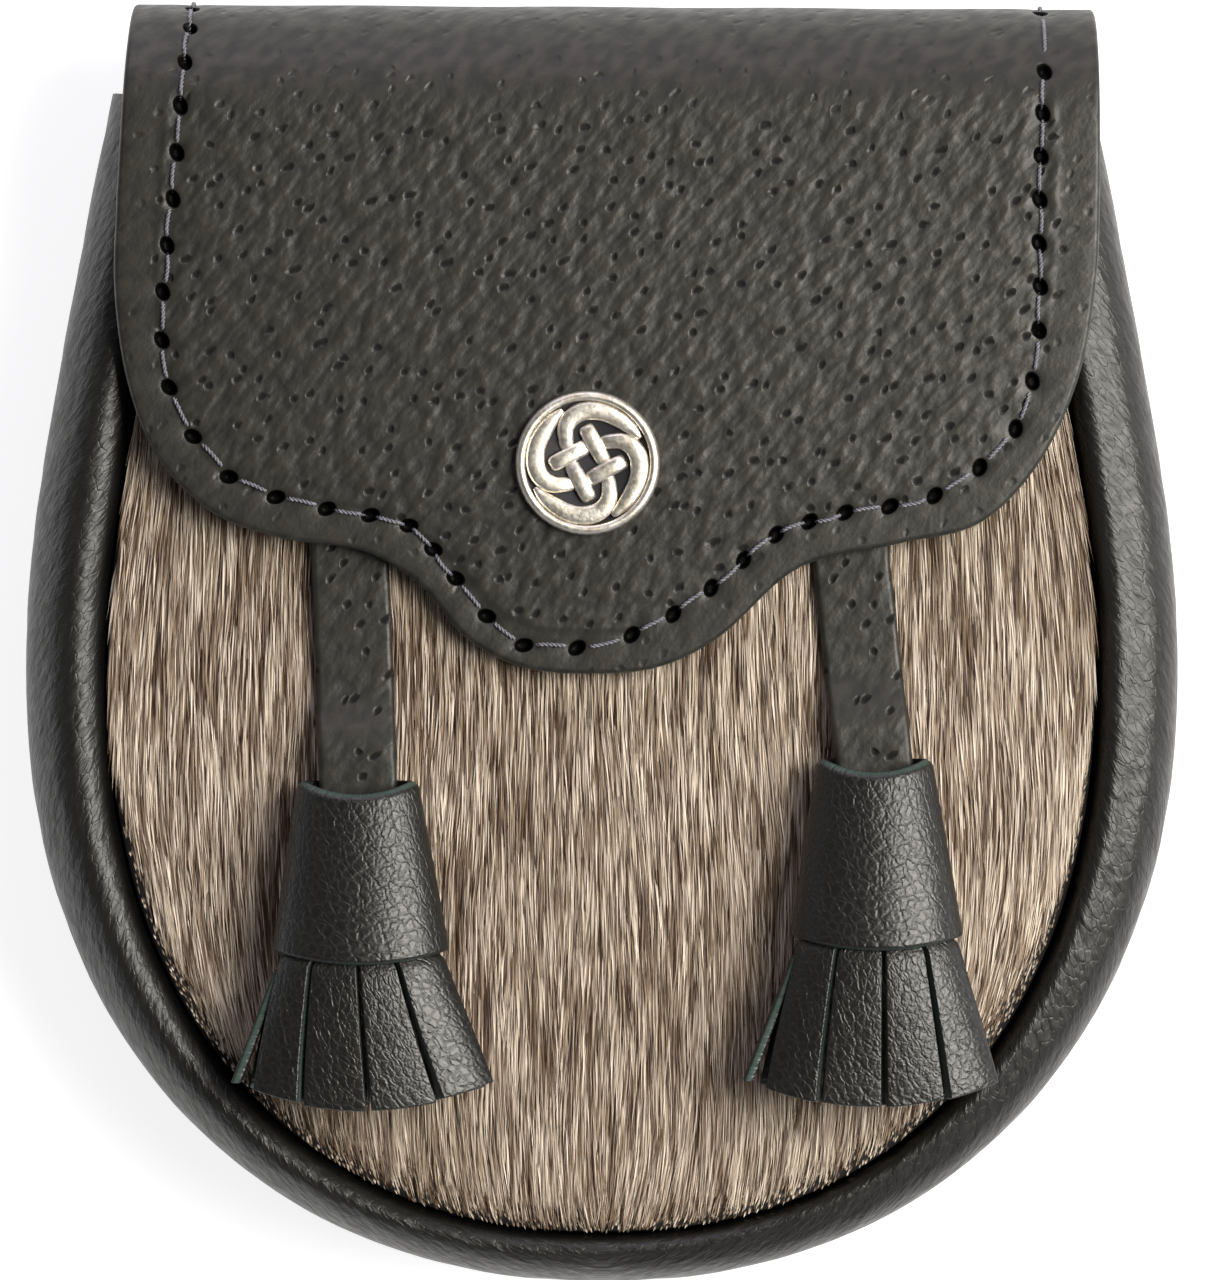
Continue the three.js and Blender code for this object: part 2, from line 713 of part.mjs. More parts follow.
function makeFringe(tassel) {
  const top = fringeSize(tassel, FRINGE_ROWS[0]);
  const mouth = fringeSize(tassel, FRINGE_ROWS[1]);
  const length = -FRINGE_ROWS[0].share * (tassel.coneFoot.y - tassel.fringeFoot.y);
  const head = new THREE.CylinderGeometry(1, 1, length * 0.85, FRINGE_HEAD_SIDES);
  head.scale(top.halfWidth - FRINGE_THICKNESS / 2, 1, top.halfDepth - FRINGE_THICKNESS / 2);
  head.translate(mouth.x, tassel.coneFoot.y + length / 2, (top.z + mouth.z) / 2);
  const pieces = [
    head,
    ...fringeStrips(tassel, tassel.cuts, 1),
    ...fringeStrips(tassel, FRINGE_BACK_CUTS, -1),
    fringeEdgeStrip(tassel),
  ];
  addMesh(`tassel_fringe_${tassel.side}`, toGeometry(joined(pieces)), LEATHER);
}

makeBackPanel();
makeGusset();
makeFurPanel();
makeFlap();
makeStud();
makeSnapPost();
for (const tassel of TASSELS) {
  makeStrap(tassel);
  makeCone(tassel);
  makeFringe(tassel);
}

export default group;
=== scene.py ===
# %% [markdown]
# # A leather sporran pouch
# This notebook dresses the plain solids of a belt pouch. The solids fix every size and place. Blender
# adds what they leave out: rolled and creased leather, pigskin with its pores, cut tassels, a cast
# stud, waxed stitches and a coat of fur.
#
# ## The frame
# The solids are imported first. Each finished piece replaces a solid or gives it a finish, and rides
# on the one body that the pouch has. Sizes below are in millimetres, and become metres in the meshes.

import math

import bmesh
import bpy
import numpy as np
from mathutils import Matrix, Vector
from mathutils.geometry import delaunay_2d_cdt


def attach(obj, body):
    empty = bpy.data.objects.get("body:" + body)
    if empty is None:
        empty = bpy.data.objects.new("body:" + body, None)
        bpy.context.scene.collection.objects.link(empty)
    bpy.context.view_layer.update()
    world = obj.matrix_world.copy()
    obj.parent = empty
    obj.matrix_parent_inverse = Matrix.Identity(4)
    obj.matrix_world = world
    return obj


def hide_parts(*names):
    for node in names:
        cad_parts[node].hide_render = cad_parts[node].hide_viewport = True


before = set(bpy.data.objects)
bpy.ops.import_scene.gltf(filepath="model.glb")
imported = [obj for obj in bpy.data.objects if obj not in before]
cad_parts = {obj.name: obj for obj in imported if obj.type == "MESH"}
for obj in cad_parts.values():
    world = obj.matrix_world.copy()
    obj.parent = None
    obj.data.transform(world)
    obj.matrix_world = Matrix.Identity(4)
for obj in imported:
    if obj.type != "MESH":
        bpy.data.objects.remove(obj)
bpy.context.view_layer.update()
MM = 0.001
SEED = 5
print("solids in the frame:", ", ".join(sorted(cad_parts)))

# %% [markdown]
# ## Camera
# The pouch lies on its back and is seen from straight above, from far away, so that its sides hardly
# show. A long lens on a high camera gives that flat look. A camera that isn't turned looks down.

# %% Camera over the pouch
CAMERA_PLACE = (0.00133, 0.00031, 1.25)
FRONT_HEIGHT = 0.018
SEEN_HEIGHT = 0.20052


def new_object(name, data):
    """An object that shows its data in the scene."""
    thing = bpy.data.objects.new(name, data)
    bpy.context.scene.collection.objects.link(thing)
    return thing


camera = new_object("camera", bpy.data.cameras.new("camera"))
camera.location = CAMERA_PLACE
camera.data.angle = 2 * math.atan(SEEN_HEIGHT / 2 / (CAMERA_PLACE[2] - FRONT_HEIGHT))
camera.data.clip_start = 0.05
camera.data.clip_end = 20
bpy.context.scene.camera = camera
print(f"lens {camera.data.lens:.0f} mm")

# %% [markdown]
# ## Helpers for node trees
# Materials and Geometry Nodes are both node trees. One helper adds a node and fills its sockets, and
# a few short ones name the steps that come back again and again.

# %% Node helpers
def fill(tree, node, inputs):
    """Fills a node's inputs: a socket is linked to the input, and any other value is set on it."""
    for name, value in dict(inputs).items():
        if isinstance(value, bpy.types.NodeSocket):
            tree.links.new(value, node.inputs[name])
        else:
            node.inputs[name].default_value = value


def add(tree, kind, inputs=(), **settings):
    """Adds a node with its settings and fills its inputs."""
    node = tree.nodes.new(kind)
    for name, value in settings.items():
        setattr(node, name, value)
    fill(tree, node, inputs)
    return node


def new_finish(name):
    """A material with its node tree and the shader in it."""
    finish = bpy.data.materials.new(name)
    finish.use_nodes = True
    return finish, finish.node_tree, finish.node_tree.nodes["Principled BSDF"]


def calc(tree, operation, *values):
    """One step of arithmetic on numbers."""
    return add(tree, "ShaderNodeMath", enumerate(values), operation=operation).outputs[0]


def calc_vector(tree, operation, *values):
    """One step of arithmetic on vectors."""
    node = add(tree, "ShaderNodeVectorMath", enumerate(values), operation=operation)
    return node.outputs[0]


def scaled(tree, vector, factor):
    """A vector times a number."""
    node = add(tree, "ShaderNodeVectorMath", {0: vector, "Scale": factor}, operation="SCALE")
    return node.outputs[0]


def centred(tree, value, reach):
    """A value from 0 to 1 moved so that it lies round 0, and stretched to a reach."""
    return calc(tree, "MULTIPLY", calc(tree, "SUBTRACT", value, 0.5), reach)


def eased(tree, value, low, high, start=0.0, end=1.0):
    """Goes smoothly from start to end as value goes from low to high."""
    inputs = {0: value, 1: low, 2: high, 3: start, 4: end}
    return add(tree, "ShaderNodeMapRange", inputs, interpolation_type="SMOOTHSTEP").outputs[0]


def noise(tree, place, scale, detail=2.0, roughness=0.5, distortion=0.0):
    """Soft random values from 0 to 1."""
    inputs = {"Vector": place, "Scale": scale, "Detail": detail}
    inputs |= {"Roughness": roughness, "Distortion": distortion}
    return add(tree, "ShaderNodeTexNoise", inputs).outputs[0]


def cells(tree, place, scale, randomness=1.0, feature="F1"):
    """Distance to the nearest of many points scattered on a plane, or to the border between them."""
    inputs = {"Vector": place, "Scale": scale, "Randomness": randomness}
    settings = {"feature": feature, "voronoi_dimensions": "2D"}
    return add(tree, "ShaderNodeTexVoronoi", inputs, **settings).outputs["Distance"]


def tint(tree, share, first, second):
    """A colour between two others."""
    node = add(tree, "ShaderNodeMix", {0: share, 6: first, 7: second}, data_type="RGBA")
    return node.outputs[2]


def combined(tree, x=0.0, y=0.0, z=0.0):
    """A vector from three numbers."""
    return add(tree, "ShaderNodeCombineXYZ", {"X": x, "Y": y, "Z": z}).outputs[0]


def parted(tree, vector):
    """The three numbers of a vector."""
    return add(tree, "ShaderNodeSeparateXYZ", {0: vector}).outputs


print("node helpers ready")

# %% [markdown]
# ## Helpers for meshes
# Most pieces are sheets of leather. A sheet is a wall between two faces. It closes in a rounded cut
# edge, as a knife leaves it. The helper asks for a place for each point of the sheet, and for each of
# the two faces, so that one rule serves straps, sleeves and strips alike. A mark named Cut tells the
# finish where the raw edge is.

# %% Mesh helpers
def grid_faces(rows, columns, ring=False):
    """Quads between the points of a grid. A ring joins the last row to the first."""
    i, j = np.meshgrid(np.arange(rows - (not ring)), np.arange(columns - 1), indexing="ij")
    below = (i + 1) % rows
    corners = (i * columns + j, below * columns + j, below * columns + j + 1, i * columns + j + 1)
    return np.stack(corners, -1).reshape(-1, 4)


def keep_marks(mesh, marks):
    """Keeps a number for each point of a mesh under each name."""
    for name, values in dict(marks).items():
        attribute = mesh.attributes.new(name, "FLOAT", "POINT")
        attribute.data.foreach_set("value", np.asarray(values, float))


def build(name, points, faces, along=None, marks=()):
    """A smooth closed mesh object from points in millimetres, with its own UV map in millimetres."""
    mesh = bpy.data.meshes.new(name)
    mesh.from_pydata((np.asarray(points, float) * MM).tolist(), [], [list(map(int, f)) for f in faces])
    if along is not None:
        corners = np.zeros(len(mesh.loops), int)
        mesh.loops.foreach_get("vertex_index", corners)
        layer = mesh.uv_layers.new(name="Along")
        layer.data.foreach_set("uv", np.asarray(along, float)[corners].ravel())
    keep_marks(mesh, marks)
    shell = bmesh.new()
    shell.from_mesh(mesh)
    bmesh.ops.recalc_face_normals(shell, faces=shell.faces)
    shell.to_mesh(mesh)
    shell.free()
    mesh.shade_smooth()
    return new_object(name, mesh)


def cut_steps(length, step, rim):
    """Places along a length, closer together where the two cut edges round off."""
    edge = rim * np.array([0, 0.04, 0.16, 0.4, 0.7, 1])
    middle = np.linspace(rim, length - rim, max(2, round((length - 2 * rim) / step) + 1))
    return np.concatenate([edge, middle[1:-1], length - edge[::-1]])


def cut_round(distance, rim):
    """How full the sheet is at a distance from its cut edge: 0 at the edge, 1 past the rim."""
    share = np.clip(distance / rim, 0, 1)
    return (1 - (1 - share) ** 2.6) ** (1 / 2.6)


def sheet(length, width, step, place, rim=0.5, ring=False):
    """Points, faces, UVs and edge marks of a leather sheet.

    place(u, v, side) gives the points for u and v in millimetres and side from -1 to 1."""
    u = np.linspace(0, length, round(length / step), endpoint=False)
    if not ring:
        u = cut_steps(length, step, rim)
    v = cut_steps(width, step, rim)
    U, V = (a.ravel() for a in np.meshgrid(u, v, indexing="ij"))
    full = cut_round(np.minimum(V, width - V), rim)
    if not ring:
        full = full * cut_round(np.minimum(U, length - U), rim)
    points = np.vstack([place(U, V, full), place(U, V, -full)])
    faces = grid_faces(len(u), len(v), ring)
    other = faces[:, ::-1] + len(U)
    rim_point = full < 1e-9
    link = np.arange(2 * len(U))
    link[len(U):][rim_point] = np.flatnonzero(rim_point)
    faces = link[np.vstack([faces, other])]
    used, faces = np.unique(faces, return_inverse=True)
    along = np.tile(np.column_stack([U, V]), (2, 1))[used]
    cut = np.tile(1 - full, 2)[used]
    return points[used], faces.reshape(-1, 4), along, cut


def ease(value, low, high):
    """Goes smoothly from 0 to 1 as value goes from low to high."""
    share = np.clip((value - low) / (high - low), 0, 1)
    return share * share * (3 - 2 * share)


def mix(first, second, share):
    """A value between two others."""
    return first + (second - first) * share


def dress(piece, finish, slot, *nodes):
    """Gives a piece its finish, attaches it to the pouch's body and hides the solids it replaces."""
    if finish is not None:
        piece.data.materials.clear()
        piece.data.materials.append(finish)
    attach(piece, "root")
    if nodes:
        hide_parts(*nodes)
    triangles = sum(len(p.vertices) - 2 for p in piece.data.polygons)
    print(f"{piece.name}: {triangles} triangles")


def smooth_line(points, per_span=12):
    """A centripetal Catmull-Rom line through a list of points."""
    p = np.asarray(points, float)
    p = np.vstack([2 * p[0] - p[1], p, 2 * p[-1] - p[-2]])
    t = np.linspace(0, 1, per_span, endpoint=False)[:, None]
    line = []
    for a, b, c, d in zip(p, p[1:], p[2:], p[3:]):
        before, here, after = (np.linalg.norm(q - r) ** 0.5 for q, r in ((b, a), (c, b), (d, c)))
        start = ((b - a) / before - (c - a) / (before + here) + (c - b) / here) * here
        end = ((c - b) / here - (d - b) / (here + after) + (d - c) / after) * here
        line.append(b + start * t + (3 * (c - b) - 2 * start - end) * t**2
                    + (2 * (b - c) + start + end) * t**3)
    return np.vstack([*line, p[-2:-1]])


def spaced(line, step):
    """The same line with its points at even steps."""
    reach = np.r_[0, np.cumsum(np.linalg.norm(np.diff(line, axis=0), axis=1))]
    at = np.linspace(0, reach[-1], round(reach[-1] / step) + 1)
    return np.column_stack([np.interp(at, reach, line[:, k]) for k in range(line.shape[1])])


print("mesh helpers ready")

# %% [markdown]
# ## Helper for Geometry Nodes
# A Geometry Nodes tree turns a source mesh into a finished one. Its sizes are named inputs, set by
# their identifiers before the object is first evaluated. The result is copied out as a plain mesh, so
# nothing live stays on the piece.

# %% Geometry Nodes helper
KINDS = {float: "NodeSocketFloat", int: "NodeSocketInt"}
KINDS |= {bpy.types.Object: "NodeSocketObject", bpy.types.Material: "NodeSocketMaterial"}


def new_tree(name, **inputs):
    """A Geometry Nodes tree with named inputs. Returns it with its group input and output nodes."""
    tree = bpy.data.node_groups.new(name, "GeometryNodeTree")
    shape = "NodeSocketGeometry"
    tree.interface.new_socket("Geometry", in_out="INPUT", socket_type=shape)
    tree.interface.new_socket("Geometry", in_out="OUTPUT", socket_type=shape)
    for label, kind in inputs.items():
        tree.interface.new_socket(label, in_out="INPUT", socket_type=KINDS[kind])
    return tree, tree.nodes.new("NodeGroupInput"), tree.nodes.new("NodeGroupOutput")


def grow(name, tree, source, **values):
    """Runs a tree on a source mesh and returns what it makes as a plain mesh object."""
    holder = new_object(name + "_source", source)
    modifier = holder.modifiers.new("Grow", "NODES")
    modifier.node_group = tree
    for item in tree.interface.items_tree:
        if item.in_out == "INPUT" and item.name in values:
            modifier[item.identifier] = values[item.name]
    graph = bpy.context.evaluated_depsgraph_get()
    mesh = bpy.data.meshes.new_from_object(holder.evaluated_get(graph), depsgraph=graph)
    holder.modifiers.remove(modifier)
    bpy.data.objects.remove(holder)
    mesh.name = name
    return new_object(name, mesh)


print("Geometry Nodes helper ready")

# %% [markdown]
# ## Room and light
# The pouch lies on a plain pale floor that glows a little, as a light table does, so that the shadow
# on it stays pale. A large soft lamp at the right is the key light, as the bright lines on the right
# of each roll show, and a weak lamp beyond the top brightens the arch. The room is pale at the height
# of the floor and darker overhead, most of all a little to the left. Level leather mirrors the dark
# part and stays black. Leather that turns away mirrors the pale part, which gives the grey sheen
# along its edges.

# %% Floor and lights
FLOOR_DROP = 0.0003
bpy.context.scene.view_settings.view_transform = "Standard"

floor_mesh = bpy.data.meshes.new("floor")
reach = 3.0
floor_mesh.from_pydata(
    [(-reach, -reach, -FLOOR_DROP), (reach, -reach, -FLOOR_DROP),
     (reach, reach, -FLOOR_DROP), (-reach, reach, -FLOOR_DROP)],
    [], [(0, 1, 2, 3)])
floor = new_object("floor", floor_mesh)
floor_finish, tree, shader = new_finish("pale_floor")
fill(tree, shader, {
    "Base Color": (0.45, 0.45, 0.46, 1), "Roughness": 0.9, "Emission Color": (1, 1, 1, 1),
    "Emission Strength": 0.82,
})
floor_mesh.materials.append(floor_finish)

DARKEST = (-0.26, 0.0, 0.966)
room = bpy.data.worlds.new("room")
room.use_nodes = True
tree = room.node_tree
towards = add(tree, "ShaderNodeTexCoord").outputs["Generated"]
darkness = add(tree, "ShaderNodeVectorMath", {0: towards, 1: DARKEST}, operation="DOT_PRODUCT")
darkness = eased(tree, darkness.outputs["Value"], 0.2, 0.93)
glow = tint(tree, darkness, (0.6, 0.59, 0.64, 1), (0.09, 0.09, 0.09, 1))
tree.links.new(glow, tree.nodes["Background"].inputs["Color"])
tree.nodes["Background"].inputs["Strength"].default_value = 0.9
bpy.context.scene.world = room

LAMPS = {
    "key": {"place": (0.78, 0.16, 1.0), "size": 0.8, "power": 29.0, "colour": (1.0, 0.965, 0.88)},
    "top": {"place": (-0.1, 0.95, 0.45), "size": 0.7, "power": 3.0, "colour": (0.92, 0.84, 1.0)},
}


def lamp(name, place, size, power, colour):
    """A square soft lamp that shines on the middle of the pouch."""
    light = bpy.data.lights.new(name, "AREA")
    light.shape = "SQUARE"
    light.size = size
    light.energy = power
    light.color = colour
    stand = new_object(name, light)
    stand.location = place
    stand.rotation_euler = (-Vector(place)).to_track_quat("-Z", "Y").to_euler()


for name, row in LAMPS.items():
    lamp(name, **row)
print("lamps:", ", ".join(LAMPS))

# %% [markdown]
# ## Leather finishes
# Three leathers make up the pouch: smooth calf on the rolled wall, pigskin on the flap and straps,
# and a pebbled grain on the tassels. All three could be one finish with other numbers, but their
# marks differ in kind, so each has a short function of its own for its relief. They share a body:
# a half gloss, a greenish raw edge where the mark Cut says so, black painted as shade inside the
# stitch holes (mark Pit) and in the valley beside the fur, and one sum of bumps.

# %% Body of a leather finish
EDGE_TEAL = (0.055, 0.09, 0.08, 1)
# black and a low gloss painted as shade: in stitch holes, the valley by the fur, pores and the hide's rim
PAINTED_SHADE_BLACK = (0.002, 0.002, 0.002, 1)
PAINTED_SHADE_GLOSS = 0.06


def mark(tree, name):
    """A number kept on the mesh."""
    return add(tree, "ShaderNodeAttribute", attribute_name=name).outputs["Fac"]


def along_sheet(tree):
    """The sheet's own UV map, in millimetres."""
    return add(tree, "ShaderNodeUVMap", uv_map="Along").outputs[0]


def turned(tree, place, angle, stretch=(1, 1, 1)):
    """A pattern's place turned by an angle in degrees and then stretched."""
    inputs = {"Vector": place, "Rotation": (0, 0, math.radians(angle))}
    spun = add(tree, "ShaderNodeMapping", inputs).outputs[0]
    return add(tree, "ShaderNodeMapping", {"Vector": spun, "Scale": stretch}).outputs[0]


def layered(tree, *layers):
    """Layers of relief added up. Each one is a height from 0 to 1 and its depth in millimetres."""
    total = 0.0
    for height, depth in layers:
        total = calc(tree, "ADD", calc(tree, "MULTIPLY", height, depth), total)
    return total


def in_millimetres(tree):
    """A place in the object's own space, in millimetres."""
    return scaled(tree, add(tree, "ShaderNodeTexCoord").outputs["Object"], 1000.0)


def leather(name, relief, gloss, edge=0.6, place_of=along_sheet):
    """A leather finish. relief(tree, place) gives its colour, roughness and height in millimetres."""
    finish, tree, shader = new_finish(name)
    colour, roughness, height = relief(tree, place_of(tree))
    raw = eased(tree, mark(tree, "Cut"), 0.12, 0.75, 0, edge)
    colour = tint(tree, raw, colour, EDGE_TEAL)
    # Painted shade: inside the stitch holes and in the valley beside the fur the colour goes black and
    # the gloss drops
    shade = calc(tree, "MAXIMUM", eased(tree, mark(tree, "Pit"), 0.1, 0.7), mark(tree, "Valley"))
    colour = tint(tree, shade, colour, PAINTED_SHADE_BLACK)
    bump = add(tree, "ShaderNodeBump", {"Height": height, "Distance": MM, "Strength": 1.0})
    fill(tree, shader, {"Specular IOR Level": gloss})
    fill(tree, shader, {
        "Base Color": colour, "Roughness": roughness, "Normal": bump.outputs[0],
        "Specular IOR Level": eased(tree, shade, 0, 1, gloss, PAINTED_SHADE_GLOSS)})
    return finish


print("leather body ready")

# %% [markdown]
# ### Smooth calf
# Close up, the rolled leather has a fine net of creases and soft strokes that break up its shine. The
# net is the border between small scattered cells. The strokes are noise stretched one way. A mark
# from the sweep paints the inner side of the roll, beside the fur, black and matt: painted shade.

# %% Smooth calf relief
def wandering(tree, place, scale, reach):
    """A place moved about by soft noise, so that a pattern on it loses its straight lines."""
    return calc_vector(tree, "ADD", place, scaled(tree, noise(tree, place, scale, 2), reach))


def calf(tree, place):
    """Near-black leather, finely creased."""
    mottle = noise(tree, place, 0.12, 3)
    colour = tint(tree, mottle, (0.006, 0.0059, 0.0052, 1), (0.012, 0.0118, 0.0102, 1))
    slanted = turned(tree, wandering(tree, place, 0.5, 1.2), 38, (1.15, 0.55, 1))
    net = cells(tree, slanted, 0.85, 1.0, "DISTANCE_TO_EDGE")
    strokes = noise(tree, turned(tree, place, 38, (0.85, 0.36, 1)), 1.0, 1, 0.4)
    folds = noise(tree, turned(tree, place, 40, (0.3, 0.14, 1)), 1.0, 2)
    roughness = eased(tree, strokes, 0.3, 0.7, 0.46, 0.36)
    height = layered(tree, (folds, 0.35), (strokes, 0.24), (eased(tree, net, 0, 0.16), 0.028))
    return colour, roughness, height


calf_finish = leather("smooth_leather", calf, 0.42)
print("smooth calf ready")

# %% [markdown]
# ### Pigskin
# Pigskin is known by its pores. They stand in loose groups of two or three, because every cell of a
# scattered pattern may hold one, but not all of them do. Small slanted bumps fill the space
# between them. Over the top fold the skin is stretched, and its pores nearly close.

# %% Pigskin relief
PORE_SPACING = 4.2
PORE_SHARE = 0.75
PIGSKIN_DARK = (0.011, 0.0104, 0.0082, 1)
PIGSKIN_LIGHT = (0.024, 0.0226, 0.0172, 1)
FOLD_FROM = 76.0
FOLD_TO = 90.0


def pigskin(tree, place):
    """Charcoal leather with grouped pores."""
    slanted = wandering(tree, turned(tree, place, 38, (1.15, 0.85, 1)), 0.3, 2.0)
    spots = add(tree, "ShaderNodeTexVoronoi", {
        "Vector": slanted, "Scale": 1 / PORE_SPACING, "Randomness": 1.0},
        voronoi_dimensions="2D").outputs
    kept = calc(tree, "LESS_THAN", parted(tree, spots["Color"])[0], PORE_SHARE)
    stretched = eased(tree, parted(tree, place)[1], FOLD_FROM, FOLD_TO, 1, 0.3)
    border = mark(tree, "Border")
    at_border = eased(tree, border, 0.6, 1, 1, 0.25)
    kept = calc(tree, "MULTIPLY", kept, calc(tree, "MULTIPLY", stretched, at_border))
    dent = calc(tree, "MULTIPLY", eased(tree, spots["Distance"], 0.03, 0.2, 1, 0), kept)
    # Painted shade: the middle of each pore is painted near black and made matt
    dark = calc(tree, "MULTIPLY", eased(tree, spots["Distance"], 0.07, 0.16, 1, 0), kept)
    lumps = noise(tree, turned(tree, place, 43, (0.5, 0.27, 1)), 1.0, 1, 0.35)
    wrinkles = noise(tree, turned(tree, place, 38, (1.7, 1.1, 1)), 1.0, 1, 0.5)
    colour = tint(tree, eased(tree, lumps, 0.3, 0.7), PIGSKIN_DARK, PIGSKIN_LIGHT)
    colour = tint(tree, calc(tree, "MULTIPLY", dark, 0.93), colour, PAINTED_SHADE_BLACK)
    roughness = calc(tree, "MAXIMUM", eased(tree, lumps, 0.3, 0.75, 0.5, 0.4), dark)
    calm = calc(tree, "MULTIPLY", stretched, eased(tree, border, 0, 1, 1, 0.25))
    raised = calc(tree, "MULTIPLY", lumps, eased(tree, calm, 0.2, 1.0, 0.3, 1))
    return colour, roughness, layered(tree, (raised, 0.52), (wrinkles, 0.05), (dent, -0.36))


pigskin_finish = leather("pigskin_leather", pigskin, 0.4)
print("pigskin ready")

# %% [markdown]
# ### Pebbled grain
# The tassels are cut from a grained leather: small rounded pebbles with fine creases between them,
# and longer creases that cross the sheet aslant. Cell borders give both.

# %% Pebbled grain relief
def pebbled(tree, place):
    """Near-black leather with a pebbled grain."""
    crooked = wandering(tree, place, 0.5, 1.4)
    pebbles = cells(tree, turned(tree, crooked, -20, (1.0, 0.8, 1)), 0.8, 1.0, "DISTANCE_TO_EDGE")
    creases = cells(tree, turned(tree, crooked, -25, (0.44, 0.12, 1)), 1.0, 1.0, "DISTANCE_TO_EDGE")
    grain = cells(tree, place, 2.0, 1.0)
    mottle = noise(tree, place, 0.25, 3)
    colour = tint(tree, mottle, (0.005, 0.0049, 0.0043, 1), (0.01, 0.0098, 0.0085, 1))
    roughness = eased(tree, pebbles, 0.02, 0.3, 0.42, 0.31)
    height = layered(tree, (eased(tree, creases, 0, 0.12), 0.04), (eased(tree, pebbles, 0, 0.25), 0.034),
                     (grain, -0.03))
    return colour, roughness, height


pebbled_finish = leather("grain_leather", pebbled, 0.47)
print("pebbled grain ready")

# %% [markdown]
# ## The rolled wall
# The wall of the pouch is one long strip of leather. It goes round the sides and the foot, and its
# front edge is rolled over into a rim. The roll gets narrower towards the foot, and it is pressed out
# of shape: its crest lies near its middle on the left and closer to the fur on the right. That is a
# sweep, so a Geometry Nodes tree makes it: a flat grid whose one side runs along the outline and
# whose other side runs along a section between the left one and the right one.

# %% Outline and section of the wall
HALF_WIDTH = 89.9
HALF_HEIGHT = 99.6
BOWL_CENTRE_Y = -4.4
BOWL_POWER = 2.17
WALL_TOP_Y = 85.4
WAIST_SLOPE = 0.21
WAIST_ROUNDING = 28.2
WAIST_Y = -2.8
ROLL_WIDTH = 13.0
ROLL_NARROWING = 5.2
WALL_THICKNESS = 1.8
# shares of the section over which the painted shade beside the fur fades in
VALLEY_SHADE_SHARES = (0.772, 0.8)
RIGHT_SHARES = (0.4, 0.6)
# n is measured outwards from the outline, z up from the back
WALL_SECTION = [
    (-9.6, 2.7), (-4.4, 2.7), (-2.0, 3.9), (-0.7, 7.2), (-0.15, 12), (0, 18), (-0.15, 24.5),
    (-1.1, 28.8), (-3.2, 32.5), (-5.7, 35.2), (-7.9, 36.2), (-9.9, 35.9), (-11.6, 34.8), (-12.7, 32.8),
    (-13.05, 30.2), (-13.1, 28.2), (-19.5, 28.2),
]
WALL_SECTION_RIGHT = WALL_SECTION[:7] + [
    (-1.0, 29.6), (-2.4, 32.2), (-4.2, 33.9), (-5.9, 34.65), (-8.0, 35.3), (-9.9, 35.9), (-11.2, 35.5),
    (-12.3, 33.9), (-13.0, 31.2), (-13.1, 28.2), (-19.5, 28.2),
]


def side_half_width(y):
    """Half the pouch's width above the bowl: the sides lean in towards the top."""
    return HALF_WIDTH - WAIST_SLOPE * (np.hypot(y - WAIST_Y, WAIST_ROUNDING) - WAIST_ROUNDING)


def wall_outline(step):
    """The outline from the top left, round the foot, to the top right, at even steps."""
    side_y = np.linspace(WALL_TOP_Y, BOWL_CENTRE_Y, 120, endpoint=False)
    angle = np.linspace(0, math.pi / 2, 400)
    power = 2 / BOWL_POWER
    bowl_x = -HALF_WIDTH * np.maximum(np.cos(angle), 0) ** power
    bowl_y = BOWL_CENTRE_Y - (HALF_HEIGHT + BOWL_CENTRE_Y) * np.sin(angle) ** power
    left = np.vstack([
        np.column_stack([-side_half_width(side_y), side_y]), np.column_stack([bowl_x, bowl_y]),
    ])
    right = left[::-1][1:] * (-1, 1)
    return spaced(np.vstack([left, right]), step)


def outward(line):
    """Unit normals on the outer side of the outline."""
    along = np.gradient(line, axis=0)
    along /= np.linalg.norm(along, axis=1)[:, None]
    return np.column_stack([along[:, 1], -along[:, 0]])


def roll_width(normal):
    """Width of the rolled rim where the outline's normal is known."""
    return ROLL_WIDTH - ROLL_NARROWING * np.maximum(0, -normal[:, 1]) ** 1.5


outline = wall_outline(1.0)
outline_normal = outward(outline)
outline_roll = roll_width(outline_normal)
print(f"outline {len(outline)} points, roll {outline_roll.min():.1f} to {outline_roll.max():.1f} mm")

# %% Lines that the sweep follows
def guide(name, points, radius=None):
    """A plain line as a curve object, for a tree to read. It is removed after use."""
    curve = bpy.data.curves.new(name, "CURVE")
    curve.dimensions = "3D"
    spline = curve.splines.new("POLY")
    spline.points.add(len(points) - 1)
    spline.points.foreach_set("co", np.column_stack([points, np.ones(len(points))]).ravel())
    if radius is not None:
        spline.points.foreach_set("radius", np.asarray(radius, float))
    return new_object(name, curve)


sections = [spaced(smooth_line(rows), 0.4) for rows in (WALL_SECTION, WALL_SECTION_RIGHT)]
section_length = np.linalg.norm(np.diff(sections[0], axis=0), axis=1).sum()
outline_length = np.linalg.norm(np.diff(outline, axis=0), axis=1).sum()
flat = np.zeros((len(outline), 1))
outline_guide = guide("outline", np.hstack([outline, flat]) * MM, outline_roll / ROLL_WIDTH)
left_guide, right_guide = (guide("section", np.insert(rows, 1, 0, axis=1) * MM) for rows in sections)
print(f"the strip is {outline_length:.0f} mm long and {section_length:.0f} mm wide")

# %% The sweep as a Geometry Nodes tree
def live(node):
    """The output that a node with several kinds of value shows."""
    return next(socket for socket in node.outputs if socket.enabled)


def kept_uv(tree, geometry, name, uv):
    """Stores a UV map on the mesh."""
    inputs = {"Geometry": geometry, "Name": name, "Value": uv}
    settings = {"data_type": "FLOAT2", "domain": "CORNER"}
    return add(tree, "GeometryNodeStoreNamedAttribute", inputs, **settings).outputs[0]


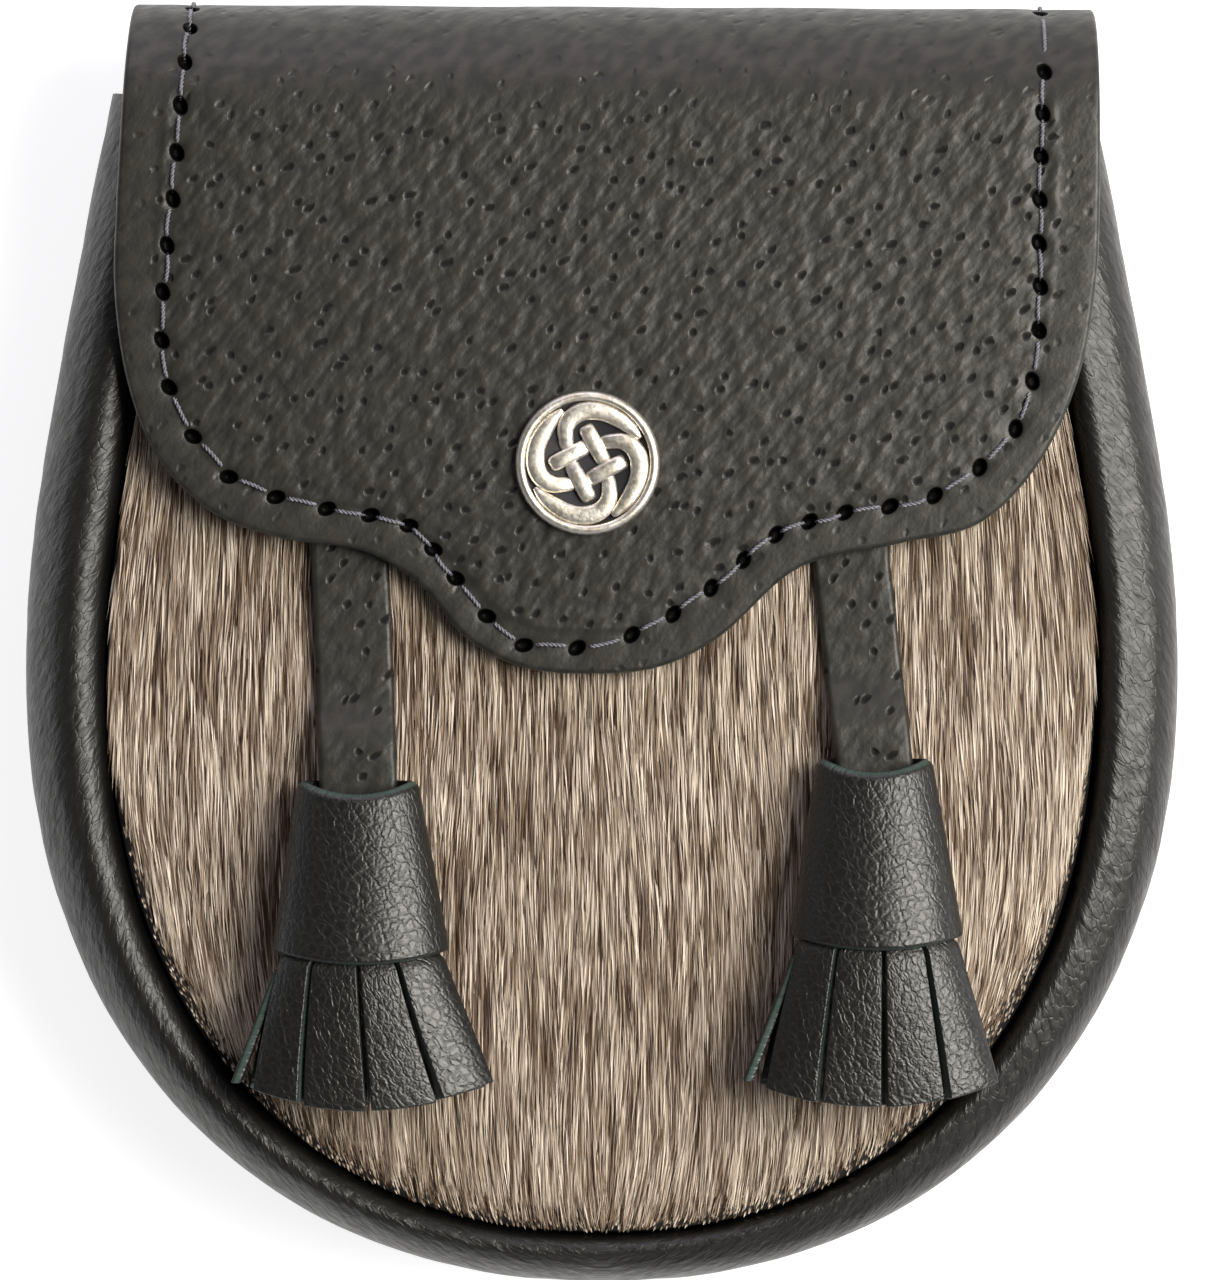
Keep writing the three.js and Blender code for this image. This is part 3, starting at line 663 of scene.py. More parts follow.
def sweep_tree():
    """A grid laid along an outline, with a section whose width follows the outline's radius."""
    tree, inside, outside = new_tree(
        "Swept wall", Outline=bpy.types.Object, Left=bpy.types.Object, Right=bpy.types.Object,
        Stations=int, Steps=int, Length=float, Breadth=float, Crease=float, Finish=bpy.types.Material)
    value = inside.outputs
    grid = add(tree, "GeometryNodeMeshGrid", {
        "Size X": 1.0, "Size Y": 1.0, "Vertices X": value["Stations"], "Vertices Y": value["Steps"]})
    share = parted(tree, grid.outputs["UV Map"])
    lines = []
    for label, factor in (("Outline", share[0]), ("Left", share[1]), ("Right", share[1])):
        line = add(tree, "GeometryNodeObjectInfo", {"Object": value[label]}).outputs["Geometry"]
        radius = add(tree, "GeometryNodeInputRadius").outputs[0]
        lines.append(add(tree, "GeometryNodeSampleCurve", {
            "Curves": line, "Factor": factor, "Value": radius}))
    along, left, right = lines
    side = calc_vector(tree, "CROSS_PRODUCT", along.outputs["Tangent"], (0.0, 0.0, 1.0))
    span = calc_vector(tree, "SUBTRACT", right.outputs["Position"], left.outputs["Position"])
    span = scaled(tree, span, eased(tree, share[0], *RIGHT_SHARES))
    offset = parted(tree, calc_vector(tree, "ADD", left.outputs["Position"], span))
    reach = calc(tree, "MULTIPLY", offset[0], live(along))
    point = calc_vector(tree, "ADD", along.outputs["Position"], scaled(tree, side, reach))
    point = calc_vector(tree, "ADD", point, combined(tree, z=offset[2]))
    up = calc(tree, "ABSOLUTE", calc(tree, "SUBTRACT", share[0], 0.5))
    uv = combined(tree, calc(tree, "MULTIPLY", share[1], value["Breadth"]),
                  calc(tree, "MULTIPLY", up, value["Length"]))
    wall = kept_uv(tree, grid.outputs["Mesh"], "Along", uv)
    # Painted shade: a mark that blackens the inner side of the roll, in the crease beside the fur
    wall = add(tree, "GeometryNodeStoreNamedAttribute", {
        "Geometry": wall, "Name": "Valley", "Value": eased(tree, share[1], *VALLEY_SHADE_SHARES)},
        data_type="FLOAT", domain="POINT").outputs[0]
    inputs = {"Geometry": wall, "Position": point}
    wall = add(tree, "GeometryNodeSetPosition", inputs).outputs[0]
    lying = add(tree, "GeometryNodeInputNamedAttribute", {"Name": "Along"}, data_type="FLOAT_VECTOR")
    aslant = add(tree, "ShaderNodeVectorRotate", {
        "Vector": live(lying), "Angle": math.radians(40)}, rotation_type="Z_AXIS").outputs[0]
    ripple = noise(tree, calc_vector(tree, "MULTIPLY", aslant, (0.16, 0.05, 0.0)), 1.0, 2)
    height = centred(tree, ripple, value["Crease"])
    facing = add(tree, "GeometryNodeInputNormal").outputs[0]
    inputs = {"Geometry": wall, "Offset": scaled(tree, facing, height)}
    wall = add(tree, "GeometryNodeSetPosition", inputs).outputs[0]
    wall = add(tree, "GeometryNodeRealizeInstances", {"Geometry": wall}).outputs[0]
    wall = add(tree, "GeometryNodeSetMaterial", {"Geometry": wall, "Material": value["Finish"]})
    tree.links.new(wall.outputs[0], outside.inputs[0])
    return tree


wall = grow(
    "rolled_wall", sweep_tree(), bpy.data.meshes.new("empty"), Outline=outline_guide,
    Left=left_guide, Right=right_guide, Stations=300, Steps=58, Length=float(outline_length),
    Breadth=float(section_length), Crease=0.5 * MM, Finish=calf_finish)
for line in (outline_guide, left_guide, right_guide):
    bpy.data.objects.remove(line)
print(f"swept {len(wall.data.polygons)} faces")

# %% Thickness of the wall
leather_wall = wall.modifiers.new("Thickness", "SOLIDIFY")
leather_wall.thickness = WALL_THICKNESS * MM
leather_wall.offset = -1
leather_wall.use_even_offset = False
wall.data.shade_smooth()
dress(wall, None, "smooth_leather", "gusset")

# %% [markdown]
# ## The hide
# The front is a panel of hide, slightly domed, sewn in behind the roll. Its fur hides it almost
# everywhere, so its own mesh is a simple dome: rings that shrink towards the middle, on a front and
# a back face. Only its rim shows, in the gap between the fur and the roll, and there it is painted
# black as painted shadow of the roll.

# %% Hide panel
PANEL_TOP_Y = 80.0
PANEL_RIM_Z = 31.6
PANEL_DOME = 3.4
PANEL_CENTRE_Y = -5.0
PANEL_THICKNESS = 3.0
SEAM_GAP = 0.5
TOP_EDGE_CLEARANCE = 2.0
RING_SHARES = np.r_[np.linspace(1 / 24, 23 / 24, 23), 0.985, 1.0]


def hide_rim(step):
    """The closed rim of the hide: the outline drawn in by the roll, and a straight top edge."""
    inset = outline - outline_normal * (outline_roll + SEAM_GAP)[:, None]
    low = inset[inset[:, 1] < PANEL_TOP_Y - TOP_EDGE_CLEARANCE]
    half = side_half_width(PANEL_TOP_Y) - ROLL_WIDTH - SEAM_GAP
    top = [(half, PANEL_TOP_Y), (-half, PANEL_TOP_Y)]
    return spaced(np.vstack([low, top, low[:1]]), step)[:-1]


def roll_shadow_share(share):
    """How close to the seam a share of the way to the rim is: the hide is painted black there, as painted
    shadow of the roll.
    """
    return float(ease(share, 0.95, 0.985))


def hide_place(rim, share):
    """Places on the front of the hide for each rim point, a share of the way out to the rim."""
    x = rim[:, 0] * share
    y = mix(PANEL_CENTRE_Y, rim[:, 1], share)
    z = np.full(len(rim), PANEL_RIM_Z + PANEL_DOME * (1 - share**2))
    return np.column_stack([x, y, z])


def make_hide(step):
    """The hide as rings from the middle of its front, over the rim, to the middle of its back."""
    rim = hide_rim(step)
    front = [hide_place(rim, share) for share in RING_SHARES]
    back = [ring - (0, 0, PANEL_THICKNESS) for ring in front[::-1]]
    middle = np.array([0, PANEL_CENTRE_Y, PANEL_RIM_Z + PANEL_DOME])
    points = np.vstack([*front, *back, middle, middle - (0, 0, PANEL_THICKNESS)])
    count, rounds = len(rim), len(front) + len(back)
    loop = grid_faces(count, rounds, ring=True)
    faces = (loop % rounds) * count + loop // rounds
    around = np.arange(count)
    front_cap = np.column_stack([around, np.roll(around, -1), np.full(count, count * rounds)])
    back_ring = around + count * (rounds - 1)
    back_cap = np.column_stack([back_ring, np.roll(back_ring, -1), np.full(count, count * rounds + 1)])
    seam = np.repeat([roll_shadow_share(share) for share in (*RING_SHARES, *RING_SHARES[::-1])], count)
    return build("hide", points, [*faces, *front_cap, *back_cap], marks={"Seam": np.r_[seam, 0, 0]})


hide_finish, tree, shader = new_finish("hide")
in_space = in_millimetres(tree)
down = noise(tree, calc_vector(tree, "MULTIPLY", in_space, (2.0, 0.15, 1.0)), 1.0, 3)
down_colour = tint(tree, down, (0.02, 0.012, 0.008, 1), (0.07, 0.045, 0.03, 1))
# Painted shadow: the hide's rim beside the roll is painted black
down_colour = tint(tree, mark(tree, "Seam"), down_colour, PAINTED_SHADE_BLACK)
fill(tree, shader, {"Base Color": down_colour, "Roughness": 0.8})
dress(make_hide(3.0), hide_finish, "fur_hide", "fur_panel")

# %% [markdown]
# ## The fur
# Short guard hairs lie down the front like thatch: dark brown at the root, cream or grey at the tip.
# The dark root is partly the hair's own colour and partly painted shade deep in the coat. A hair system
# would be easy to comb, but hairs have to be a mesh here, and many thousands of them are alike.
# So Geometry Nodes scatter points on the hide and set one thin blade on each. Two marks on the
# ground steer them: Lean turns the hairs along the rim, and Room shortens those that would run into
# the roll. Most stop a few millimetres short of the seam and few reach it, so the foot of the coat is
# ragged. Each hair takes its tone from a fine streaky noise at its tip, so that neighbours in one streak
# match.

# %% Ground that the hairs grow from
# how far short of the rim the tips stop: most of them, and the few that reach over it
FUR_GAP = (3.4, -0.2)
FEW_LONG = 4.0
SHORTEST_HAIR = 2.2
STUB_LENGTH = 1.0
RIM_FOLLOW = 7.0
MOST_LEAN = 24.0


def make_ground(step):
    """The top of the hide, with the marks that steer the hairs."""
    rim = hide_rim(step)
    shares = np.linspace(0.03, 0.995, 40)
    points = np.vstack([hide_place(rim, share) for share in shares])
    lower = rim[rim[:, 1] < BOWL_CENTRE_Y]
    lower = lower[np.argsort(lower[:, 0])]
    foot = np.interp(points[:, 0], lower[:, 0], lower[:, 1])
    room = points[:, 1] - foot
    along = np.gradient(rim, axis=0)
    along *= np.sign(-along[:, 1])[:, None]
    lean = np.degrees(np.arctan2(along[:, 0], np.maximum(-along[:, 1], 1e-6)))
    lean = np.where(rim[:, 1] > PANEL_TOP_Y - 1, 0, np.clip(lean, -MOST_LEAN, MOST_LEAN))
    lean = np.concatenate([lean * share**RIM_FOLLOW for share in shares])
    loop = grid_faces(len(rim), len(shares), ring=True)
    faces = (loop % len(shares)) * len(rim) + loop // len(shares)
    mesh = bpy.data.meshes.new("ground")
    mesh.from_pydata((points * MM).tolist(), [], faces.tolist())
    keep_marks(mesh, {"Room": room * MM, "Lean": np.radians(lean)})
    if mesh.polygons[0].normal.z < 0:
        mesh.flip_normals()
    return mesh


ground = make_ground(2.0)
print(f"ground {len(ground.vertices)} points")

# %% One hair
def make_hair():
    """A blade of unit length along -Y, that rises from its root and levels out to its tip."""
    way = np.array([0, 0.45])
    half = np.array([0.42, 0.5])
    rise = np.array([-0.02, 0.06])
    points = [(side * w, -t, z) for t, w, z in zip(way, half, rise) for side in (-1, 1)]
    points.append((0, -1, 0.08))
    faces = [(0, 2, 3, 1), (2, 4, 3)]
    mesh = bpy.data.meshes.new("hair")
    mesh.from_pydata(points, [], faces)
    keep_marks(mesh, {"Across": [0, 1, 0, 1, 0.5], "Way": [-p[1] for p in points]})
    if mesh.polygons[0].normal.z < 0:
        mesh.flip_normals()
    mesh.shade_smooth()
    return new_object("hair", mesh)


hair = make_hair()
print(f"one hair has {len(hair.data.polygons)} faces")

# %% The coat as a Geometry Nodes tree
STREAK_SIZE = (2300.0, 55.0, 0.0)
CLUMP_SIZE = (330.0, 60.0, 0.0)
PATCH_SIZE = (60.0, 22.0, 0.0)
PATCH_SWAY = 0.35
CLUMP_SWAY = 0.3
PATCH_TONE = 0.42
PALER_FOOT = 0.22
PALER_HEIGHT = 50.0


def named(tree, name, kind="FLOAT"):
    """A value kept on the mesh."""
    return live(add(tree, "GeometryNodeInputNamedAttribute", {"Name": name}, data_type=kind))


def random_value(tree, low, high, seed):
    """A random number for each point."""
    inputs = {2: low, 3: high, "Seed": seed}
    return add(tree, "FunctionNodeRandomValue", inputs, data_type="FLOAT").outputs[1]


def coat_tree():
    """Blades scattered on the ground, leaning and shortened as its marks say."""
    tree, inside, outside = new_tree(
        "Fur coat", Hair=bpy.types.Object, Density=float, Length=float, Breadth=float,
        Spread=float, Paleness=float, Seed=int, Finish=bpy.types.Material)
    value = inside.outputs
    room = named(tree, "Room")
    enough = add(tree, "FunctionNodeCompare", {0: room, 1: SHORTEST_HAIR * MM}, operation="GREATER_THAN")
    points = add(tree, "GeometryNodeDistributePointsOnFaces", {
        "Mesh": value["Geometry"], "Selection": enough.outputs[0], "Density": value["Density"],
        "Seed": value["Seed"]}, distribute_method="RANDOM").outputs[0]
    place = add(tree, "GeometryNodeInputPosition").outputs[0]
    patch = noise(tree, calc_vector(tree, "MULTIPLY", place, PATCH_SIZE), 1.0, 2)
    clump = noise(tree, calc_vector(tree, "MULTIPLY", place, CLUMP_SIZE), 1.0, 1)
    sway = calc(tree, "ADD", centred(tree, patch, PATCH_SWAY), centred(tree, clump, CLUMP_SWAY))
    apart = [calc(tree, "ADD", value["Seed"], float(k)) for k in range(1, 8)]
    yaw = calc(tree, "ADD", calc(tree, "ADD", named(tree, "Lean"), sway), calc(
        tree, "MULTIPLY", random_value(tree, -1.0, 1.0, apart[0]), value["Spread"]))
    roll = random_value(tree, -0.6, 0.6, apart[1])
    pitch = random_value(tree, -0.05, 0.03, apart[2])
    longest = calc(tree, "MULTIPLY", value["Length"], random_value(tree, 0.65, 1.2, apart[3]))
    gap = calc(tree, "POWER", random_value(tree, 0.0, 1.0, apart[6]), FEW_LONG)
    gap = eased(tree, gap, 0.0, 1.0, FUR_GAP[0] * MM, FUR_GAP[1] * MM)
    longest = calc(tree, "MINIMUM", longest, calc(tree, "SUBTRACT", room, gap))
    longest = calc(tree, "MAXIMUM", longest, STUB_LENGTH * MM)
    breadth = calc(tree, "MULTIPLY", value["Breadth"], random_value(tree, 0.6, 1.4, apart[4]))
    tip = combined(tree, calc(tree, "MULTIPLY", longest, calc(tree, "SINE", yaw)), calc(
        tree, "MULTIPLY", calc(tree, "MULTIPLY", longest, calc(tree, "COSINE", yaw)), -1.0))
    tip = calc_vector(tree, "MULTIPLY", calc_vector(tree, "ADD", place, tip), STREAK_SIZE)
    tone = calc(tree, "ADD", eased(tree, noise(tree, tip, 1.0, 2, 0.6), 0.42, 0.62, 0.0, 0.85),
                random_value(tree, -0.35, 0.35, apart[5]))
    tone = calc(tree, "ADD", tone, centred(tree, patch, PATCH_TONE))
    tone = calc(tree, "ADD", tone, eased(tree, room, 0.0, PALER_HEIGHT * MM, PALER_FOOT, 0.0))
    tone = calc(tree, "ADD", tone, value["Paleness"])
    tone = add(tree, "ShaderNodeClamp", {"Value": tone}).outputs[0]
    standing = calc(tree, "MULTIPLY", longest, eased(tree, tone, 0.0, 1.0, 0.75, 1.2))
    blades = add(tree, "GeometryNodeInstanceOnPoints", {
        "Points": points, "Rotation": combined(tree, pitch, roll, yaw),
        "Instance": add(tree, "GeometryNodeObjectInfo", {"Object": value["Hair"]}).outputs["Geometry"],
        "Scale": combined(tree, breadth, longest, standing)}).outputs[0]
    blades = add(tree, "GeometryNodeStoreNamedAttribute", {
        "Geometry": blades, "Name": "Tone", "Value": tone}, data_type="FLOAT", domain="INSTANCE")
    blades = add(tree, "GeometryNodeRealizeInstances", {"Geometry": blades.outputs[0]}).outputs[0]
    across = calc(tree, "MULTIPLY", named(tree, "Across"), 0.02)
    across = calc(tree, "ADD", across, calc(tree, "MULTIPLY", named(tree, "Tone"), 0.98))
    coat = kept_uv(tree, blades, "OFBake", combined(tree, across, named(tree, "Way")))
    for name in ("Tone", "Across", "Way"):
        coat = add(tree, "GeometryNodeRemoveAttribute", {"Geometry": coat, "Name": name}).outputs[0]
    coat = add(tree, "GeometryNodeSetMaterial", {"Geometry": coat, "Material": value["Finish"]})
    tree.links.new(coat.outputs[0], outside.inputs[0])
    return tree


print("fur tree ready")

# %% Finish of a hair
# dark root colour: partly the hair's own base, partly painted shade deep in the coat
HAIR_BASE_AND_SHADE = (0.02, 0.01, 0.005, 1)
HAIR_BROWN = (0.06, 0.03, 0.016, 1)
HAIR_FAWN = (0.25, 0.17, 0.105, 1)
HAIR_CREAM = (0.67, 0.57, 0.465, 1)

fur_finish, tree, shader = new_finish("fur_hair")
uv = parted(tree, add(tree, "ShaderNodeUVMap", uv_map="OFBake").outputs[0])
tip = tint(tree, eased(tree, uv[0], 0.0, 0.5), HAIR_BROWN, HAIR_FAWN)
tip = tint(tree, eased(tree, uv[0], 0.4, 1.0), tip, HAIR_CREAM)
# Partly painted shade: each blade darkens towards its root
blade = tint(tree, eased(tree, uv[1], 0.1, 0.75), HAIR_BASE_AND_SHADE, tip)
fill(tree, shader, {"Base Color": blade, "Roughness": 0.5, "Specular IOR Level": 0.35})
print("fur finish ready")

# %% Grow the coat
COATS = {
    "fur_under": {"Density": 1.9e6, "Length": 0.009, "Breadth": 0.00034, "Paleness": -0.3},
    "fur_guard_1": {"Density": 1.9e6, "Length": 0.012, "Breadth": 0.00027, "Paleness": -0.05},
    "fur_guard_2": {"Density": 1.9e6, "Length": 0.012, "Breadth": 0.00027, "Paleness": 0.0},
    "fur_guard_3": {"Density": 1.9e6, "Length": 0.011, "Breadth": 0.00027, "Paleness": 0.05},
}
fur_tree = coat_tree()
for number, (name, row) in enumerate(COATS.items()):
    coat = grow(name, fur_tree, ground, Hair=hair, Spread=0.025,
                Seed=SEED + 10 * number, Finish=fur_finish, **row)
    dress(coat, None, "fur_hide")
bpy.data.objects.remove(hair)

# %% [markdown]
# ## The flap
# One piece of pigskin covers the mouth: a tail sewn inside the back, an arch over the top and a front
# with a lobed lower edge. It is drawn flat first, as a pattern on the table, and then bent. On the
# flat pattern x runs across and s runs up the front, over the arch and down the tail.

# %% Bend of the flap
ARCH_RADIUS = 18.5
ARCH_SLOPE = 0.0055
TAIL_LENGTH = 20.0
TAIL_HALF_WIDTH = 64.0
BACK_THICKNESS = 2.4
GAP = 0.3
FLAP_THICKNESS = 2.6
FLAP_CROWN = 1.2
FLAP_CROWN_HALF_WIDTH = 76.0
FLAP_CROWN_Y = 45.0
FLAP_DROOP = 0.6
FLAP_LOWEST_Y = -8.0
SHOULDER_TURN = math.radians(162)
STUD_PLACE = (-2.2, 27.5)
ARCH_Y = HALF_HEIGHT - ARCH_RADIUS - ARCH_SLOPE * FLAP_CROWN_HALF_WIDTH
ARCH_MIDDLE = ARCH_RADIUS - FLAP_THICKNESS / 2
ARCH_Z = BACK_THICKNESS + GAP + ARCH_RADIUS


def flap_front_z(x, y):
    """Height of the flap's middle surface on the front."""
    crown = FLAP_CROWN * (1 - (x / FLAP_CROWN_HALF_WIDTH) ** 2) * (1 - ease(y, FLAP_CROWN_Y, ARCH_Y))
    droop = FLAP_DROOP * (1 - ease(y, FLAP_LOWEST_Y, STUD_PLACE[1]))
    return ARCH_Z + ARCH_MIDDLE + crown - droop


def flap_place(x, s, height):
    """The bent place of a point of the flat pattern, at a height above the middle surface."""
    turn = np.clip((s - ARCH_Y) / ARCH_MIDDLE, 0, math.pi)
    tail = np.maximum(0, s - ARCH_Y - math.pi * ARCH_MIDDLE)
    reach = ARCH_MIDDLE + height
    y = np.minimum(s, ARCH_Y) - tail + (reach - ARCH_SLOPE * x) * np.sin(turn)
    z = np.where(s < ARCH_Y, flap_front_z(x, s) + height, ARCH_Z + reach * np.cos(turn))
    return np.column_stack([x, y, z])


def pattern_s(y):
    """How far up the pattern the outer face reaches a height y, on the front or the near arch."""
    turn = np.arcsin(np.clip((y - ARCH_Y) / ARCH_RADIUS, 0, 1))
    return np.minimum(y, ARCH_Y) + turn * ARCH_MIDDLE


print(f"arch of {ARCH_RADIUS} mm from y {ARCH_Y:.1f} mm")

# %% Cut edge of the flap
FLAP_TOP_CORNERS = [(76.7, 102.0), (-72.8, 102.0)]
FLAP_EDGE = [
    (-74.8, 68.6), (-75.1, 54.0), (-72.9, 39.2), (-68.6, 28.6), (-59.9, 19.9), (-49.4, 16.0),
    (-36.5, 13.9), (-28.0, 8.8), (-21.2, 0.9), (-12.6, -3.8), (-2.2, -4.9), (8.6, -3.9),
    (17.7, 0.5), (30.5, 11.5), (45.6, 15.1), (58.0, 18.2), (66.8, 26.8), (73.3, 40.3),
    (76.2, 56.0), (76.8, 71.0),
]


def side_edge(start, corner, step):
    """One side of the pattern, from the front up and over the arch to the shoulder."""
    s = np.arange(start[1], ARCH_Y + SHOULDER_TURN * ARCH_MIDDLE, step)
    x = np.full(len(s), float(start[0]))
    y = flap_place(x, s, 0)[:, 1]
    x = mix(start[0], corner[0], (y - start[1]) / (corner[1] - start[1]))
    return np.column_stack([x, s])


def flap_pattern(step):
    """The closed outline of the flat pattern, at even steps."""
    front = smooth_line(FLAP_EDGE)
    right = side_edge(FLAP_EDGE[-1], FLAP_TOP_CORNERS[0], step)
    left = side_edge(FLAP_EDGE[0], FLAP_TOP_CORNERS[1], step)
    shoulder = right[-1, 1]
    end = ARCH_Y + math.pi * ARCH_MIDDLE + TAIL_LENGTH
    tail = [(x, s) for x, s in zip(
        np.array([1, 1, -1, -1]) * TAIL_HALF_WIDTH, (shoulder, end, end, shoulder))]
    return spaced(np.vstack([front, right[1:], tail, left[::-1]]), step)[:-1]


def distance_to(points, line, closed=True):
    """Distance from each point to a line, which may go on from its last point to its first."""
    spans = np.diff(np.vstack([line, line[:1]]) if closed else line, axis=0)
    best = np.full(len(points), np.inf)
    for a, d in zip(line, spans):
        t = np.clip(((points - a) @ d) / (d @ d), 0, 1)
        best = np.minimum(best, np.linalg.norm(points - a - t[:, None] * d, axis=1))
    return best


def is_inside(points, line):
    """Whether each point lies inside a closed line."""
    inside = np.zeros(len(points), bool)
    for (x0, y0), (x1, y1) in zip(line, np.roll(line, -1, axis=0)):
        crosses = (y0 > points[:, 1]) != (y1 > points[:, 1])
        if crosses.any():
            at = x0 + (points[:, 1] - y0) / (y1 - y0 + 1e-12) * (x1 - x0)
            inside ^= crosses & (points[:, 0] < at)
    return inside


pattern = flap_pattern(0.9)
print(f"flap outline {len(pattern)} points")

# %% [markdown]
# ### Stitch holes
# A row of slanted awl holes follows the edge. The table gives every second hole, and the others lie
# halfway between them on the same smooth line. The row goes on over the arch to the shoulder.

# %% Stitch holes on the pattern
HOLE_SPACING = 6.8
SECOND_HOLES = [
    (-63.7, 95.0), (-64.9, 82.6), (-66.0, 68.2), (-67.6, 53.9), (-66.6, 39.2), (-57.4, 25.4),
    (-42.3, 20.5), (-29.7, 17.9), (-22.5, 9.8), (-12.0, -0.5), (4.6, 1.1), (16.8, 8.3),
    (26.8, 16.5), (37.4, 19.9), (51.2, 22.5), (63.7, 32.8), (67.3, 48.0), (67.3, 61.4),
    (67.6, 74.8), (68.2, 88.2),
]


def stitch_holes():
    """All the holes in order, as places on the flat pattern."""
    line = np.array([(x, pattern_s(y)) for x, y in SECOND_HOLES])
    dense = smooth_line(line, 2)
    over = np.arange(dense[0, 1] + HOLE_SPACING, ARCH_Y + SHOULDER_TURN * ARCH_MIDDLE - 3, HOLE_SPACING)
    left = [(dense[0, 0], s) for s in over[::-1]]
    right = [(dense[-1, 0], s) for s in over]
    return np.vstack([left, dense, right])


holes = stitch_holes()
way = np.gradient(holes, axis=0)
hole_turn = np.arctan2(way[:, 1], way[:, 0])
print(f"{len(holes)} stitch holes")

# %% [markdown]
# ### Net of triangles
# A plain grid can't follow both the lobed edge and the small holes. Blender can fill an outline with
# triangles between any points it is given, so the points are chosen: rings along the edge, rings
# round each hole, and an even net between them.

# %% Flap mesh
NET = 1.7
EDGE_RIM = 0.8
HOLE_LENGTH = 1.5
HOLE_BREADTH = 1.1
HOLE_SLANT = math.radians(28)
HOLE_DEPTH = 1.5
HOLE_RINGS = (0.3, 0.62, 0.8, 0.95, 1.15, 1.6, 2.2)
BORDER = 6.0
PULL_DEPTH = 0.28
PULL_REACH = 2.6
THREAD_GROOVE = 0.12
GROOVE_REACH = 0.7
WAVE_HEIGHT = 0.06


def hole_share(points):
    """How far each point is from its nearest hole, as a share of the hole's own oval."""
    best = np.full(len(points), np.inf)
    for centre, turn in zip(holes, hole_turn + HOLE_SLANT):
        away = points - centre
        long = away @ (math.cos(turn), math.sin(turn))
        short = away @ (-math.sin(turn), math.cos(turn))
        best = np.minimum(best, np.hypot(long / HOLE_LENGTH, short / HOLE_BREADTH))
    return best


def net_points():
    """Places on the pattern for the triangles' corners."""
    low, high = pattern.min(0), pattern.max(0)
    columns = np.arange(low[0], high[0], NET)
    rows = np.arange(low[1], high[1], NET * math.sqrt(3) / 2)
    X, S = np.meshgrid(columns, rows)
    X[::2] += NET / 2
    net = np.column_stack([X.ravel(), S.ravel()])
    net = net[is_inside(net, pattern)]
    net = net[distance_to(net, pattern) > EDGE_RIM + 0.5]
    net = net[hole_share(net) > HOLE_RINGS[-1] + 0.25]
    inward = -outward(np.vstack([pattern, pattern[:1]]))[:-1]
    rings = []
    for depth in (0.05, 0.2, 0.45, EDGE_RIM):
        ring = pattern + inward * depth
        ring = ring[is_inside(ring, pattern)]
        rings.append(ring[distance_to(ring, pattern) > depth * 0.9])
    around = np.linspace(0, 2 * math.pi, 14, endpoint=False)
    for centre, turn in zip(holes, hole_turn + HOLE_SLANT):
        for share in HOLE_RINGS:
            long = share * HOLE_LENGTH * np.cos(around)
            short = share * HOLE_BREADTH * np.sin(around)
            x = centre[0] + long * math.cos(turn) - short * math.sin(turn)
            s = centre[1] + long * math.sin(turn) + short * math.cos(turn)
            rings.append(np.column_stack([x, s]))
    return np.vstack([pattern, *rings, holes, net])


def flap_height(points, to_edge):
    """How the outer face departs from an even thickness: holes, pulled-in stitches, soft waves."""
    share = hole_share(points)
    height = -HOLE_DEPTH * (1 - ease(share, 0.6, 1.0))
    to_row = distance_to(points, holes, closed=False)
    height -= PULL_DEPTH * np.exp(-((share * HOLE_LENGTH / PULL_REACH) ** 2))
    height -= THREAD_GROOVE * np.exp(-((to_row / GROOVE_REACH) ** 2))
    wave = np.sin(points[:, 0] * 0.19 + points[:, 1] * 0.11) * np.sin(points[:, 1] * 0.23 - 1.0)
    return height + WAVE_HEIGHT * wave * ease(to_edge, 2, 12)


def make_flap():
    """The flap's outer and inner face, joined at the cut edge."""
    points = net_points()
    outline_loop = [list(range(len(pattern)))]
    found = delaunay_2d_cdt([Vector(p) for p in points], [], outline_loop, 1, 1e-6)
    points = np.array([tuple(p) for p in found[0]])
    faces = np.array([face for face in found[2] if len(face) == 3])
    to_edge = distance_to(points, pattern)
    full = cut_round(to_edge, EDGE_RIM)
    half = FLAP_THICKNESS / 2
    outer = flap_place(points[:, 0], points[:, 1], half * full + flap_height(points, to_edge) * full)
    inner = flap_place(points[:, 0], points[:, 1], -half * full)
    on_edge = full < 1e-6
    link = np.arange(len(points)) + len(points)
    link[on_edge] = np.flatnonzero(on_edge)
    faces = np.vstack([faces, link[faces[:, ::-1]]])
    # Painted shade: marks the inside of each stitch hole to be painted black
    pit = 1 - ease(hole_share(points), 0.85, 1.12)
    border = 1 - ease(to_edge, BORDER - 1, BORDER + 2)
    marks = {"Cut": np.tile(1 - full, 2), "Pit": np.r_[pit, np.zeros(len(points))],
             "Border": np.tile(border, 2)}
    used, faces = np.unique(faces, return_inverse=True)
    marks = {name: values[used] for name, values in marks.items()}
    return build("pigskin_flap", np.vstack([outer, inner])[used], faces.reshape(-1, 3),
                 np.tile(points, (2, 1))[used], marks)


dress(make_flap(), pigskin_finish, "pigskin_leather", "flap")

# %% [markdown]
# ### Thread
# A waxed thread of two plies runs from hole to hole. It dips into each hole and lies slack between.
# The tree takes its path, turns two strands round it, and gives each a round section.

# %% Path of the thread
THREAD_DIP = -2.5
THREAD_LIFT = 0.12
THREAD_SLACK = 0.45
STEPS_BETWEEN = 14


